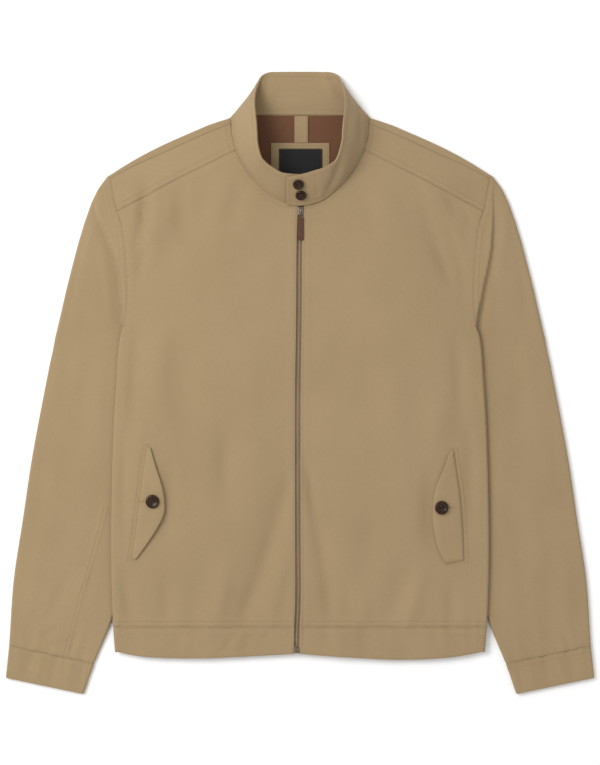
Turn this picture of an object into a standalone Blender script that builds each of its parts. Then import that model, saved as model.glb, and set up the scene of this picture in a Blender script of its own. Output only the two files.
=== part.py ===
"""Zip-front bomber jacket with a stand collar, laid flat on its back.

Real size. +Z is up, +Y runs to the collar and +X to the wearer's left. The origin is under the middle of
the jacket, on the surface that it lies on. Tables are in millimetres, and give x as the distance
from the middle line wherever both sides of the jacket share them.
"""
import math

import bpy
from mathutils import Vector

MM = 0.001
RIGHT, LEFT = -1, 1             # the wearer's sides

# driving dimensions, in millimetres
SHELL_WALL = 1.5                # khaki cotton with its hidden lining
SLEEVE_WALL = 1.4
HEM_WALL = 1.6
CUFF_WALL = 2.0                 # doubled cloth
COLLAR_WALL = 2.4
LINING_WALL = 1.0
SEAM_GAP = 0.3                  # between pieces that are sewn together
LAY_GAP = 0.4                   # between cloth and what lies on it
SLEEVE_THICK = 6.6              # a flattened sleeve, both layers
BODY_REST = SLEEVE_THICK + LAY_GAP      # the body's underside where a sleeve is tucked below it
REST_BLEND = 38.0               # width over which the back comes down from a sleeve to the table
REST_REACH = 23.0               # how far past a tucked sleeve's edge the back stays at its height
SIDE_ROUND = 3.6                # how far the side fold bulges past the flat of the front
SHOULDER_ROUND = 3.0            # how far in from the shoulder's edge the back leaves the table
# the back's rows round the shoulder: how far in from its edge, share of the front's height
SHOULDER_ROWS = ((SHOULDER_ROUND, 0.0), (0.9, 0.16), (0.0, 0.5), (0.9, 0.86))
SIDE_TURN_ANGLES = (40, 0, -40, -90)    # round the side fold, in degrees from level
SHOULDER_TIP_GAP = 0.45         # between the shoulder and the sleeve's first row
BAND_SIDE_GAP = 1.0             # where front and back hem bands meet under the side
ZIP_TOP = (1.0, 233.0)
ZIP_BOTTOM = (-5.3, -356.0)
ZIP_OPENING = 9.2               # between the two front edges
ZIP_TAPE_REACH = 14.0           # from the middle of the zip to a tape's hidden edge
ZIP_TAPE_WALL = 1.0
ZIP_TAPE_TOP_Y, ZIP_TAPE_END_Y, ZIP_TAPE_ROWS = 231.0, -353.0, 22
HEM_SEAM_Y = -320.8
UNDERARM_Y = 73.9
UNDERARM_OUTSIDE = (235.6, 75.0, 7.6)   # where the sleeve turns down beside the side fold

# plan lines (x from the middle line, y)
NECK_FRONT = ((0, 235), (18.5, 237.2), (37, 245.2), (55.4, 261), (72.6, 283.6), (84.5, 306.2))
NECK_YOKE = ((84.5, 306.2), (89.8, 327.4), (91, 342.2))
YOKE_SEAM = ((84.5, 306.2), (132, 282.5), (165, 266), (200.6, 247), (240.9, 226))
SHOULDER_SEAM = ((91, 342.2), (134, 324.5), (180, 303.5), (220, 285.5), (249.5, 269.5))
SHOULDER_EDGE = ((91.8, 349.6), (118.8, 340.6), (134.6, 334), (179.5, 314.2), (217.8, 294.4),
                 (253, 272.6))
ARMHOLE_YOKE = ((249.5, 269.5), (246, 248), (240.9, 226))
ARMHOLE_FRONT = ((240.9, 226), (235, 208.6), (231.7, 188.8), (229, 159.7), (227.2, 122.8),
                 (228.4, 96.4), (230.7, 73.9))
SLEEVE_OUTER = ((253, 272.6), (259.5, 266), (266.6, 254.8), (275.9, 235), (289.1, 195.4), (304.9, 136),
                (314.2, 96.4), (323.4, 56.8))
SLEEVE_OUTER_LOW = ((323.4, 56.8), (339.2, -22.4), (353.8, -101.6), (365.6, -180.8), (377.5, -260),
                    (383.4, -345.8))
SLEEVE_INNER_LOW = ((234.5, 66), (205, 54), (170, 26), (158.5, -12), (163, -40), (181, -92),
                    (204, -156), (226, -234), (247, -310), (271.9, -369.6))
CUFF_OUTER = ((383.4, -345.8), (388, -388.5))
CUFF_INNER = ((271.9, -369.6), (285.1, -410))
BACK_HEM_Y = -356.0

# side of the body: y, x of the side fold, how far under it the side seam lies
SIDE_EDGE = (
    (73.9, 234.3, 1.2),
    (50.2, 238.3, 8.0),
    (4.0, 241.6, 13.0),
    (-48.8, 244.9, 14.0),
    (-154.4, 248.2, 14.0),
    (-233.6, 248.8, 14.0),
    (-286.4, 247.5, 14.0),
    (-320.8, 246.0, 14.0),
    (-354.0, 243.6, 14.0),
)
# hem's lower edge, right front and left front: x, y
HEM_EDGE = {
    RIGHT: ((0, -355.7), (52.8, -359), (132, -362.3), (204.6, -360.4), (240, -354)),
    LEFT: ((0, -356.4), (52.8, -360.4), (132, -364.3), (198, -361), (240, -354)),
}
# height of the front's outer face: y, at the middle, at the side
FRONT_HEIGHT = (
    (350.0, 5.0, 4.6),
    (330.0, 9.5, 5.2),
    (306.0, 14.0, 5.6),
    (282.0, 17.2, 6.0),
    (260.0, 19.0, 6.8),
    (235.0, 19.6, 8.6),
    (190.0, 20.0, 11.0),
    (120.0, 20.4, 12.6),
    (73.9, 20.4, 13.8),
    (0.0, 20.0, 14.4),
    (-100.0, 18.6, 14.4),
    (-200.0, 16.4, 14.2),
    (-280.0, 14.2, 13.6),
    (-320.8, 12.8, 12.4),
    (-362.0, 11.6, 9.8),
)
CROWN_REACH = 125.0             # from the side, how far in the front has risen to its full height
# inner edge of the sleeve that lies under the body: y, x
SLEEVE_UNDER = ((136.0, 300.0), (84.0, 233.0), (64.0, 205.0), (34.0, 170.0), (-8.0, 158.0),
                (-40.0, 163.0), (-92.0, 181.0), (-156.0, 204.0), (-234.0, 226.0), (-310.0, 247.0),
                (-370.0, 272.0))
# the largest folds of the body: start, middle and end (x, y), half width, height
BODY_FOLDS = (
    ((-204, 262), (-207, 215), (-213, 150), 11, -2.0),
    ((-152, 215), (-178, 162), (-199, 133), 22, -1.6),
    ((-188, 255), (-191, 205), (-210, 150), 10, 1.2),
    ((148, 268), (172, 205), (194, 143), 15, -2.2),
    ((172, 257), (205, 212), (223, 110), 13, -1.8),
    ((-149, 80), (-152, -30), (-149, -130), 26, -1.2),
    ((-98, -70), (-101, -110), (-96, -155), 22, -1.5),
    ((-26, -115), (-38, -200), (-76, -318), 20, -1.4),
    ((-123, -245), (-134, -280), (-148, -318), 16, -1.2),
    ((30, -100), (36, -195), (46, -305), 15, -1.2),
    ((139, -245), (128, -280), (112, -318), 16, -1.4),
    ((181, -20), (184, -50), (181, -82), 15, 1.2),
)
# the largest folds of a sleeve's upper layer: start, middle and end (x, y), half width, height
SLEEVE_FOLDS = {
    RIGHT: (
        ((271, 222), (252, 185), (240, 130), 9, -1.8),
        ((283, 205), (268, 150), (262, 60), 17, 1.5),
        ((300, -20), (306, -100), (300, -170), 20, -1.2),
        ((330, -190), (338, -270), (322, -335), 16, 1.0),
    ),
    LEFT: (
        ((256, 240), (256, 190), (243, 118), 8, -2.2),
        ((280, 225), (274, 160), (262, 60), 17, 1.5),
        ((262, -60), (266, -140), (268, -200), 17, 1.2),
        ((318, -250), (328, -300), (340, -340), 15, -1.0),
    ),
}
# stand collar, outer face: neck seam (x, y, z), free edge (x, y, z)
COLLAR_RIGHT = (
    ((-90.9, 342.2, 6.6), (-58.6, 353.0, 42)),
    ((-90.0, 326.4, 9.8), (-56.5, 332.6, 50)),
    ((-84.3, 306.3, 13.2), (-55.8, 314.1, 53)),
    ((-72.4, 283.0, 16.0), (-51.9, 296.0, 53)),
    ((-55.2, 260.4, 18.3), (-45.5, 287.2, 50.5)),
    ((-36.8, 244.6, 19.2), (-33.8, 278.9, 48)),
    ((-18.4, 236.6, 19.4), (-19.5, 272.6, 46)),
    ((0.0, 235.6, 19.5), (0.0, 271.3, 45)),
    ((16.0, 239.6, 19.3), (15.5, 273.0, 45.4)),
)
COLLAR_BACK = (
    ((-90.3, 348.9, 4.0), (-59.5, 374.2, 28)),
    ((-84.4, 352.0, 1.3), (-55.9, 394.5, 12)),
    ((-72.6, 352.8, 0.0), (-47.5, 406.2, 3)),
    ((-55.4, 353.4, 0.0), (-34.3, 410.0, 0.6)),
    ((-29.0, 353.9, 0.0), (-18.5, 410.5, 0)),
)
COLLAR_LAP = (
    ((55.2, 260.4, 18.7), (45.5, 287.7, 51)),
    ((36.8, 243.9, 20.9), (32.5, 280.0, 50.5)),
    ((18.4, 235.3, 22.5), (13.0, 274.2, 49.5)),
    ((0.0, 232.3, 22.9), (-2.6, 269.9, 48.8)),
    ((-17.2, 233.3, 22.9), (-17.0, 267.4, 48.2)),
)
BACK_NECK_MIDDLE, COLLAR_BACK_MIDDLE = (0.0, 353.9, 0.0), (0.0, 410.5, 0.0)
COLLAR_BOW = 1.6                # how far the band bulges between its two edges
COLLAR_SEAT = 0.5               # from the body's neck edge to the band, and more at the shoulder
COLLAR_CORNER_SEAT = 1.4

# pocket flaps, from the top down: the sewn edge (x, y), the free edge (x, y)
FLAP_ROWS = {
    RIGHT: (
        ((-201.4, -84.5), (-196.9, -84.0)),
        ((-205.9, -112.0), (-190.1, -108.0)),
        ((-208.6, -136.0), (-181.2, -136.0)),
        ((-211.6, -158.0), (-178.2, -156.0)),
        ((-214.2, -178.0), (-179.6, -174.0)),
        ((-217.0, -200.0), (-193.0, -199.0)),
        ((-221.8, -231.0), (-216.5, -232.5)),
    ),
    LEFT: (
        ((202.0, -88.4), (197.0, -90.0)),
        ((206.2, -116.0), (188.5, -113.5)),
        ((209.9, -140.0), (178.2, -138.0)),
        ((212.5, -166.0), (174.4, -163.0)),
        ((214.2, -190.0), (175.6, -190.0)),
        ((215.3, -214.0), (181.5, -217.0)),
        ((215.9, -233.6), (191.5, -237.0)),
    ),
}
FLAP_WALL = 1.8
FLAP_SPRING = {RIGHT: 3.0, LEFT: 3.6}       # how far the free edge stands off the front
POCKET_BUTTON = {RIGHT: (-193.4, -155.4), LEFT: (185.6, -163.4)}
POCKET_BUTTON_SIZE = 18.0
COLLAR_BUTTON_SIZE = 14.5
COLLAR_BUTTONS = {"collar_button_upper": (-2.0, 0.735), "collar_button_lower": (1.3, 0.385)}
BUTTON_THICK = 3.0
BUTTON_STEPS = 18

# what shows inside the neck
LINING_ROWS = ((349.5, 66.0), (335.0, 78.0), (318.0, 86.0), (290.0, 98.0), (250.0, 106.0),
               (216.0, 108.0))
PATCH_X, PATCH_Y = (-38.3, 38.9), (316.5, 262.0)
LABEL_X, LABEL_Y = (-27.7, 29.0), (308.9, 275.4)
LOOP_X, LOOP_Y = (-7.3, 10.6), (352.0, 316.8)

# zip slider and pull
TAPE_DROP = 2.8                 # from the front's outer face down to the tape
SLIDER_WIDTH, SLIDER_LENGTH, SLIDER_HEIGHT = 8.2, 12.0, 4.2
SLIDER_Y = 225.5
PULL_WIDTH, PULL_LENGTH, PULL_WALL = 9.4, 30.0, 1.8
PULL_TOP_Y = 217.4
LINK_WIDTH, LINK_LENGTH, LINK_WALL = 5.0, 6.9, 1.4
PULL_HINGE_Y = 224.0
BOX_WIDTH, BOX_LENGTH, BOX_HEIGHT = 8.2, 8.0, 3.0
BOX_Y = -351.5

# how finely each seam is divided; pieces that meet share their points
SEGMENTS = {"neck_front": 6, "neck_yoke": 3, "yoke": 8, "armhole_yoke": 3, "armhole_front": 7,
            "side": 13, "band": 2, "back_neck": 4, "sleeve_low": 15, "cuff": 2}


# ---- lines, tables and sheets -------------------------------------------------------------------

def smooth_line(points, segments):
    """Even points along a smooth curve through the given ones."""
    knots = [Vector((*p, 0.0)) if len(p) == 2 else Vector(p) for p in points]
    ends = [2 * knots[0] - knots[1]] + knots + [2 * knots[-1] - knots[-2]]
    fine = [knots[0]]
    for a, b, c, d in zip(ends, ends[1:], ends[2:], ends[3:]):
        for step in range(1, 13):
            t = step / 12
            fine.append(0.5 * (2 * b + (c - a) * t + (2 * a - 5 * b + 4 * c - d) * t ** 2
                               + (3 * b - a - 3 * c + d) * t ** 3))
    reach = [0.0]
    for a, b in zip(fine, fine[1:]):
        reach.append(reach[-1] + (b - a).length)
    line, index = [], 0
    for step in range(segments + 1):
        wanted = reach[-1] * step / segments
        while index < len(fine) - 2 and reach[index + 1] < wanted:
            index += 1
        span = reach[index + 1] - reach[index]
        line.append(fine[index].lerp(fine[index + 1], min(1.0, (wanted - reach[index]) / span)))
    return line


def smoothstep(t):
    t = min(1.0, max(0.0, t))
    return t * t * (3 - 2 * t)


def table_value(table, y, column):
    """A column of a table whose rows run down in y, read smoothly between its rows."""
    if y >= table[0][0]:
        return table[0][column]
    if y <= table[-1][0]:
        return table[-1][column]
    row = next(i for i in range(len(table) - 1) if table[i + 1][0] <= y)
    slopes = [(b[column] - a[column]) / (b[0] - a[0]) for a, b in zip(table, table[1:])]

    def slope_at(i):
        return slopes[i] if i in (0, len(slopes)) else 0.5 * (slopes[i - 1] + slopes[i])
    (y0, y1), (v0, v1) = (table[row][0], table[row + 1][0]), (table[row][column], table[row + 1][column])
    m0 = slope_at(row)
    m1 = slope_at(row + 1) if row + 1 < len(slopes) else slopes[-1]
    span, t = y1 - y0, (y - y0) / (y1 - y0)
    return ((2 * t ** 3 - 3 * t ** 2 + 1) * v0 + (t ** 3 - 2 * t ** 2 + t) * span * m0
            + (3 * t ** 2 - 2 * t ** 3) * v1 + (t ** 3 - t ** 2) * span * m1)


def coons(top, bottom, start, end):
    """Rows of points between four edges: top and bottom run along a row, start and end down the rows."""
    columns, rows = len(top) - 1, len(start) - 1
    grid = []
    for r in range(rows + 1):
        v = r / rows
        line = []
        for c in range(columns + 1):
            u = c / columns
            across = start[r].lerp(end[r], u)
            down = top[c].lerp(bottom[c], v)
            corners = top[0].lerp(top[-1], u).lerp(bottom[0].lerp(bottom[-1], u), v)
            line.append(across + down - corners)
        grid.append(line)
    return grid


def fold_height(x, y, folds):
    """Sum of the soft folds at a point, each fading out towards its two ends."""
    total = 0.0
    for start, middle, end, half_width, height in folds:
        nearest, place = 1e9, 0.0
        for step in range(13):
            t = step / 12
            px = (1 - t) ** 2 * start[0] + 2 * t * (1 - t) * middle[0] + t * t * end[0]
            py = (1 - t) ** 2 * start[1] + 2 * t * (1 - t) * middle[1] + t * t * end[1]
            distance = math.hypot(x - px, y - py)
            if distance < nearest:
                nearest, place = distance, t
        if nearest < 3 * half_width:
            fade = math.sin(math.pi * (0.12 + 0.76 * place))
            total += height * fade * math.exp(-(nearest / half_width) ** 2)
    return total


def drawn_back(line, inside, gap):
    """An edge's points drawn back by a gap towards the points inside it."""
    return [a + (b - a).normalized() * gap for a, b in zip(line, inside)]


def draw_in(rows, bottom=True, start=True):
    """Draws a sheet's sewn edges back by half a seam gap: always the top and the end of its rows."""
    gap = SEAM_GAP / 2
    rows = [list(row) for row in rows]
    rows[0] = drawn_back(rows[0], rows[1], gap)
    if bottom:
        rows[-1] = drawn_back(rows[-1], rows[-2], gap)
    for row in rows:
        if start:
            row[0] = row[0] + (row[1] - row[0]).normalized() * gap
        row[-1] = row[-1] + (row[-2] - row[-1]).normalized() * gap
    return rows


def mirrored(rows, side):
    """A grid written for the wearer's left, put on either side with its outer face still outward."""
    if side == LEFT:
        return rows
    return [[None if p is None else Vector((-p.x, p.y, p.z)) for p in reversed(row)] for row in rows]


def material(name, colour, roughness, metallic=0.0):
    finish = bpy.data.materials.new(name)
    finish.use_nodes = True
    shader = finish.node_tree.nodes["Principled BSDF"]
    shader.inputs["Base Color"].default_value = (*colour, 1.0)
    shader.inputs["Roughness"].default_value = roughness
    shader.inputs["Metallic"].default_value = metallic
    finish.diffuse_color = (*colour, 1.0)
    return finish


def add_object(name, mesh, finish):
    piece = bpy.data.objects.new(name, mesh)
    mesh.materials.append(finish)
    jacket.objects.link(piece)
    return piece


def cloth(name, rows, wall, finish):
    """A cloth piece: rows of points on its outer face, left to right and top to bottom as seen from
    outside, thickened inward. A point may be None where the piece has none."""
    vertices, number = [], {}
    for r, row in enumerate(rows):
        for c, point in enumerate(row):
            if point is not None:
                number[r, c] = len(vertices)
                vertices.append(point * MM)
    faces = []
    for r in range(len(rows) - 1):
        width = len(rows[r])
        for c in range(width - 1):
            corners = [(r, c), (r + 1, c), (r + 1, c + 1), (r, c + 1)]
            if all(corner in number for corner in corners):
                faces.append([number[corner] for corner in corners])
    mesh = bpy.data.meshes.new(name)
    mesh.from_pydata(vertices, [], faces)
    mesh.shade_smooth()
    piece = add_object(name, mesh, finish)
    thicken = piece.modifiers.new("wall", "SOLIDIFY")
    thicken.thickness = wall * MM
    thicken.offset = -1.0
    return piece


# ---- the form that the cloth takes --------------------------------------------------------------

def side_x(y):
    """Distance from the middle line to the edge of the body's flat front: side fold, armhole, shoulder."""
    if y <= UNDERARM_Y:
        return table_value(SIDE_EDGE, y, 1) - SIDE_ROUND
    lines = ARMHOLE_FRONT[::-1] + ARMHOLE_YOKE[-2::-1] + SHOULDER_SEAM[-2::-1]
    for (x0, y0), (x1, y1) in zip(lines, lines[1:]):
        if y0 <= y <= y1:
            return x0 + (x1 - x0) * (y - y0) / (y1 - y0)
    return lines[-1][0]


def front_height(x, y):
    """Height of the front's outer face."""
    middle, side = table_value(FRONT_HEIGHT, y, 1), table_value(FRONT_HEIGHT, y, 2)
    inward = max(0.0, (side_x(y) - abs(x)) / CROWN_REACH)
    rise = math.sin(0.5 * math.pi * min(1.0, inward))
    return side + (middle - side) * rise + fold_height(x, y, BODY_FOLDS) * smoothstep(inward * 4 + 0.3)


def back_height(x, y):
    """Height of the back's outer face, its underside: on the table, or on a sleeve tucked below it."""
    if y > SLEEVE_UNDER[0][0]:
        return 0.0
    past = abs(x) - table_value(SLEEVE_UNDER, y, 1)
    return BODY_REST * smoothstep((past + REST_REACH + REST_BLEND) / REST_BLEND)


def on_front(line, side):
    """Plan points of one side raised to the front's outer face."""
    return [Vector((p.x, p.y, front_height(side * p.x, p.y))) for p in line]


def zip_x(y):
    (x0, y0), (x1, y1) = ZIP_TOP, ZIP_BOTTOM
    return x0 + (x1 - x0) * (y - y0) / (y1 - y0)


def zip_edge(y, side):
    """A front edge beside the zip."""
    x = zip_x(y) + side * ZIP_OPENING / 2
    return Vector((side * x, y, 0.0))


# ---- fronts, yokes and front hem bands ----------------------------------------------------------

def side_turn(row_y, side):
    """Points round the side fold at one height of the jacket, from its outermost line to the side seam."""
    edge = table_value(SIDE_EDGE, row_y, 1)
    turn = table_value(SIDE_EDGE, row_y, 2)
    middle = edge - SIDE_ROUND
    above, below = front_height(side * middle, row_y), back_height(middle, row_y)
    centre, radius = (above + below) / 2, (above - below) / 2
    line = []
    for angle in SIDE_TURN_ANGLES:
        a = math.radians(angle)
        line.append(Vector((middle + SIDE_ROUND * math.cos(a), row_y, centre + radius * math.sin(a))))
    seam_x = min(edge - turn, middle - 0.8)
    seam = Vector((seam_x, row_y, 0.0))
    seam.z = back_height(seam.x, row_y)
    return line + [seam]


def front_rows(side):
    """Front and hem band as one grid: rows from neckline and yoke seam to the hem's lower edge."""
    first = zip_edge(NECK_FRONT[0][1] + 0.4, side)
    neck = smooth_line(((first.x, first.y),) + NECK_FRONT[1:], SEGMENTS["neck_front"])
    top = neck + smooth_line(YOKE_SEAM, SEGMENTS["yoke"])[1:]
    armhole = smooth_line(ARMHOLE_FRONT, SEGMENTS["armhole_front"])
    seam_corner = table_value(SIDE_EDGE, HEM_SEAM_Y, 1) - SIDE_ROUND
    hem_y = HEM_EDGE[side][-1][1]
    heights = [UNDERARM_Y + (HEM_SEAM_Y - UNDERARM_Y) * i / SEGMENTS["side"]
               for i in range(1, SEGMENTS["side"] + 1)]
    flank = [Vector((table_value(SIDE_EDGE, y, 1) - SIDE_ROUND, y, 0.0)) for y in heights]
    end = armhole + flank
    centre = [zip_edge(first.y + (HEM_SEAM_Y - first.y) * i / (len(end) - 1), side)
              for i in range(len(end))]
    hem_seam = [centre[-1].lerp(Vector((seam_corner, HEM_SEAM_Y, 0)), i / (len(top) - 1))
                for i in range(len(top))]
    rows = coons(top, hem_seam, centre, end)
    hem = smooth_line(HEM_EDGE[side], 60)
    last = []
    for point in hem_seam:
        along = min(range(len(hem)), key=lambda i: abs(hem[i].x - point.x))
        last.append(Vector((point.x, hem[along].y, 0)))
    last[0] = zip_edge(last[0].y, side)
    last[-1] = Vector((table_value(SIDE_EDGE, hem_y, 1) - SIDE_ROUND, hem_y, 0))
    for i in range(1, SEGMENTS["band"] + 1):
        rows.append([a.lerp(b, i / SEGMENTS["band"]) for a, b in zip(hem_seam, last)])
    turn_from = SEGMENTS["armhole_front"]
    raised = []
    for r, row in enumerate(rows):
        line = on_front(row, side)
        no_turn = [None] * (len(SIDE_TURN_ANGLES) + 1)
        turn = side_turn(row[-1].y, side) if r >= turn_from else no_turn
        raised.append(line + turn)
    return raised


def side_name(side):
    return "right" if side == RIGHT else "left"


def build_front(side):
    name = side_name(side)
    rows = front_rows(side)
    seam_row = SEGMENTS["armhole_front"] + SEGMENTS["side"]
    turned = SEGMENTS["armhole_front"]
    gap = SEAM_GAP / 2
    panel = [list(row) for row in rows[:seam_row + 1]]
    flat = len([p for p in panel[0] if p is not None])
    # draw the sewn edges in: neckline and yoke seam, armhole, side seam, hem seam
    panel[0][:flat] = drawn_back(panel[0][:flat], panel[1][:flat], gap)
    panel[-1] = drawn_back(panel[-1], panel[-2], gap)
    for r, row in enumerate(panel):
        last = flat - 1 if r < turned else len(row) - 1
        row[last] = row[last] + (row[last - 1] - row[last]).normalized() * gap
    cloth("front_" + name, mirrored(panel, side), SHELL_WALL, khaki)
    band = draw_in(rows[seam_row:], bottom=False, start=False)
    cloth("hem_band_" + name, mirrored(band, side), HEM_WALL, khaki)


def yoke_rows(side):
    bottom = smooth_line(YOKE_SEAM, SEGMENTS["yoke"])
    top = smooth_line(SHOULDER_SEAM, SEGMENTS["yoke"])
    start = smooth_line(NECK_YOKE, SEGMENTS["neck_yoke"])[::-1]
    end = smooth_line(ARMHOLE_YOKE, SEGMENTS["armhole_yoke"])
    return [on_front(row, side) for row in coons(top, bottom, start, end)]


def build_yoke(side):
    rows = draw_in(yoke_rows(side))
    cloth("yoke_" + side_name(side), mirrored(rows, side), SHELL_WALL, khaki)


# ---- back ---------------------------------------------------------------------------------------

def shoulder_wrap():
    """Rows of the back that turn forward over the shoulder, from the table up to the shoulder seam."""
    edge = smooth_line(SHOULDER_EDGE, SEGMENTS["yoke"])
    seam = smooth_line(SHOULDER_SEAM, SEGMENTS["yoke"])
    rows = []
    for inset, lift in SHOULDER_ROWS:
        line = []
        for i, point in enumerate(edge):
            inward = (seam[i] - point).normalized() * inset
            top = front_height(seam[i].x, seam[i].y)
            line.append(Vector((point.x + inward.x, point.y + inward.y, lift * top)))
        rows.append(line)
    rows.append([Vector((p.x, p.y, front_height(p.x, p.y))) for p in seam])
    return rows


def back_armhole():
    """The back's armhole, from the shoulder down to the underarm, in plan."""
    top = shoulder_wrap()[0][-1]
    low = side_turn(UNDERARM_Y, LEFT)[-1]
    count = SEGMENTS["armhole_yoke"] + SEGMENTS["armhole_front"]
    return smooth_line(((top.x, top.y), (244, 246), (233, 200), (226, 150), (227, 105), (low.x, low.y)),
                       count)


def back_rows():
    """Left half of the back from the hem's edge up, with the shoulder wrap on top."""
    wrap = shoulder_wrap()
    neck = [Vector((-u.x, u.y, 0)) for u in smooth_line([n for n, _ in COLLAR_BACK[::-1]],
                                                        SEGMENTS["back_neck"])]
    neck = [Vector(BACK_NECK_MIDDLE)] + neck
    top = neck + wrap[0][1:]
    top[len(neck) - 1] = wrap[0][0].copy()
    heights = [UNDERARM_Y + (HEM_SEAM_Y - UNDERARM_Y) * i / SEGMENTS["side"]
               for i in range(SEGMENTS["side"] + 1)]
    seam = [side_turn(y, LEFT)[-1] for y in heights]
    end = back_armhole() + [Vector((p.x, p.y, 0)) for p in seam[1:]]
    columns = len(top) - 1
    hem_seam = [Vector((seam[-1].x * c / columns, HEM_SEAM_Y, 0)) for c in range(columns + 1)]
    middle = Vector(BACK_NECK_MIDDLE)
    start = [middle.lerp(Vector((0, HEM_SEAM_Y, 0)), i / (len(end) - 1)) for i in range(len(end))]
    rows = coons(top, hem_seam, start, end)
    for row in rows:
        for point in row:
            point.z = back_height(point.x, point.y)
    extra = [[None] * (len(neck) - 1) + line for line in wrap[:0:-1]]
    return extra + rows, len(neck) - 1


def whole_width(rows):
    """A half's rows with their mirror image, as one row from right to left."""
    whole = []
    for row in rows:
        other = [None if p is None else Vector((-p.x, p.y, p.z)) for p in row[:0:-1]]
        whole.append(other + row)
    return whole


def build_back():
    rows, neck_columns = back_rows()
    gap = SEAM_GAP / 2
    # shoulder seam, then armhole and side seam
    for r, row in enumerate(rows):
        filled = [c for c, p in enumerate(row) if p is not None]
        row[-1] = row[-1] + (row[-2] - row[-1]).normalized() * gap
        if filled[0] > 0:
            row[filled[0]] = row[filled[0]] + (row[filled[0] + 1] - row[filled[0]]).normalized() * gap
    first = rows[0]
    rows[0] = [a if a is None else a + (b - a).normalized() * gap for a, b in zip(first, rows[1])]
    neck = len(SHOULDER_ROWS)
    for c in range(neck_columns):
        a, b = rows[neck][c], rows[neck + 1][c]
        rows[neck][c] = a + (b - a).normalized() * gap
    hem = rows[-1]
    rows[-1] = drawn_back(hem, rows[-2], gap)
    # seen from outside, which is from below, a row runs the other way
    whole = [row[::-1] for row in whole_width(rows)]
    cloth("back", whole, SHELL_WALL, khaki)

    band = [[p + Vector((0, -gap, 0)) for p in hem]]
    for i in range(1, SEGMENTS["band"] + 1):
        y = HEM_SEAM_Y + (BACK_HEM_Y - HEM_SEAM_Y) * i / SEGMENTS["band"]
        corner = side_turn(y, LEFT)[-1]
        line = [Vector((corner.x * c / (len(hem) - 1), y, 0)) for c in range(len(hem))]
        line[-1].x -= BAND_SIDE_GAP
        for point in line:
            point.z = back_height(point.x, y)
        band.append(line)
    cloth("hem_band_back", [row[::-1] for row in whole_width(band)], HEM_WALL, khaki)


# ---- sleeves and cuffs --------------------------------------------------------------------------

FLAT_UPPER = (0.0, 0.12, 0.27, 0.45, 0.64, 0.83, 1.0)   # columns across the flat of the upper layer
FLAT_LOWER = (1.0, 0.7, 0.4, 0.15, 0.0)                 # and back across the lower layer
FOLD_RISE = math.sin(math.radians(45))                  # one column halfway round each fold
FOLD_INSET = 1 - math.cos(math.radians(45))


def sleeve_top(x, y, side, across, seam_height):
    """Height of a sleeve's upper layer: it leaves the armhole at the seam's height and sinks to the flat."""
    height = SLEEVE_THICK
    if seam_height is not None:
        height += (seam_height - SLEEVE_THICK) * (1 - smoothstep(across / 0.24))
    if y < UNDERARM_Y:
        clear = smoothstep((x - table_value(SIDE_EDGE, y, 1) - 3) / 16)
    else:
        clear = smoothstep(across * 6)
    near_edge = smoothstep((1 - across) * 7)
    return height + fold_height(x, y, SLEEVE_FOLDS[side]) * clear * near_edge


def evened(line, share):
    """Moves the points of a line towards an even spacing along it, by a share from 0 to 1."""
    reach = [0.0]
    for a, b in zip(line, line[1:]):
        reach.append(reach[-1] + (b - a).length)
    moved = []
    for i, place in enumerate(reach):
        wanted = place + (reach[-1] * i / (len(line) - 1) - place) * share
        k = next((n for n in range(len(line) - 1) if reach[n + 1] >= wanted), len(line) - 2)
        span = max(1e-6, reach[k + 1] - reach[k])
        moved.append(line[k].lerp(line[k + 1], min(1.0, (wanted - reach[k]) / span)))
    return moved


def sleeve_ring(inner, outer, side, front_z=None, back=None, back_z=None):
    """One row round a sleeve. An open row starts at the armhole's front seam and ends at its back seam."""
    r = SLEEVE_THICK / 2
    width = (outer - inner).length
    is_open = front_z is not None
    first = 0.02 * width if is_open else r
    ring = [Vector((inner.x, inner.y, front_z if is_open else r))]
    if not is_open:
        p = inner.lerp(outer, FOLD_INSET * r / width)
        ring.append(Vector((p.x, p.y, r + r * FOLD_RISE)))
    else:
        p = inner.lerp(outer, 0.01)
        ring.append(Vector((p.x, p.y, front_z)))
    for u in FLAT_UPPER:
        across = (first + (width - r - first) * u) / width
        p = inner.lerp(outer, across)
        ring.append(Vector((p.x, p.y, sleeve_top(p.x, p.y, side, across, front_z))))
    edge_top = ring[-1].z
    p = inner.lerp(outer, 1 - FOLD_INSET * r / width)
    ring.append(Vector((p.x, p.y, r + (edge_top - r) * FOLD_RISE)))
    ring.append(Vector((outer.x, outer.y, r)))
    start = back if is_open else inner
    width = (outer - start).length
    p = start.lerp(outer, 1 - FOLD_INSET * r / width)
    ring.append(Vector((p.x, p.y, r - r * FOLD_RISE)))
    for u in FLAT_LOWER:
        across = (first + (width - r - first) * u) / width
        p = start.lerp(outer, across)
        z = back_z * smoothstep((0.3 - across) / 0.3) if is_open else 0.0
        ring.append(Vector((p.x, p.y, z)))
    if is_open:
        ring.append(Vector((back.x, back.y, back_z)))
        ring[-2] = ring[-1].lerp(ring[-3], 0.5)
        ring = evened(ring, 1 - 0.9 * smoothstep((width - 6) / 60))
    else:
        p = inner.lerp(outer, FOLD_INSET * r / width)
        ring[-1] = ring[-2].lerp(Vector((p.x, p.y, 0)), 0.6)
        ring.append(Vector((p.x, p.y, r - r * FOLD_RISE)))
    return ring


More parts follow.
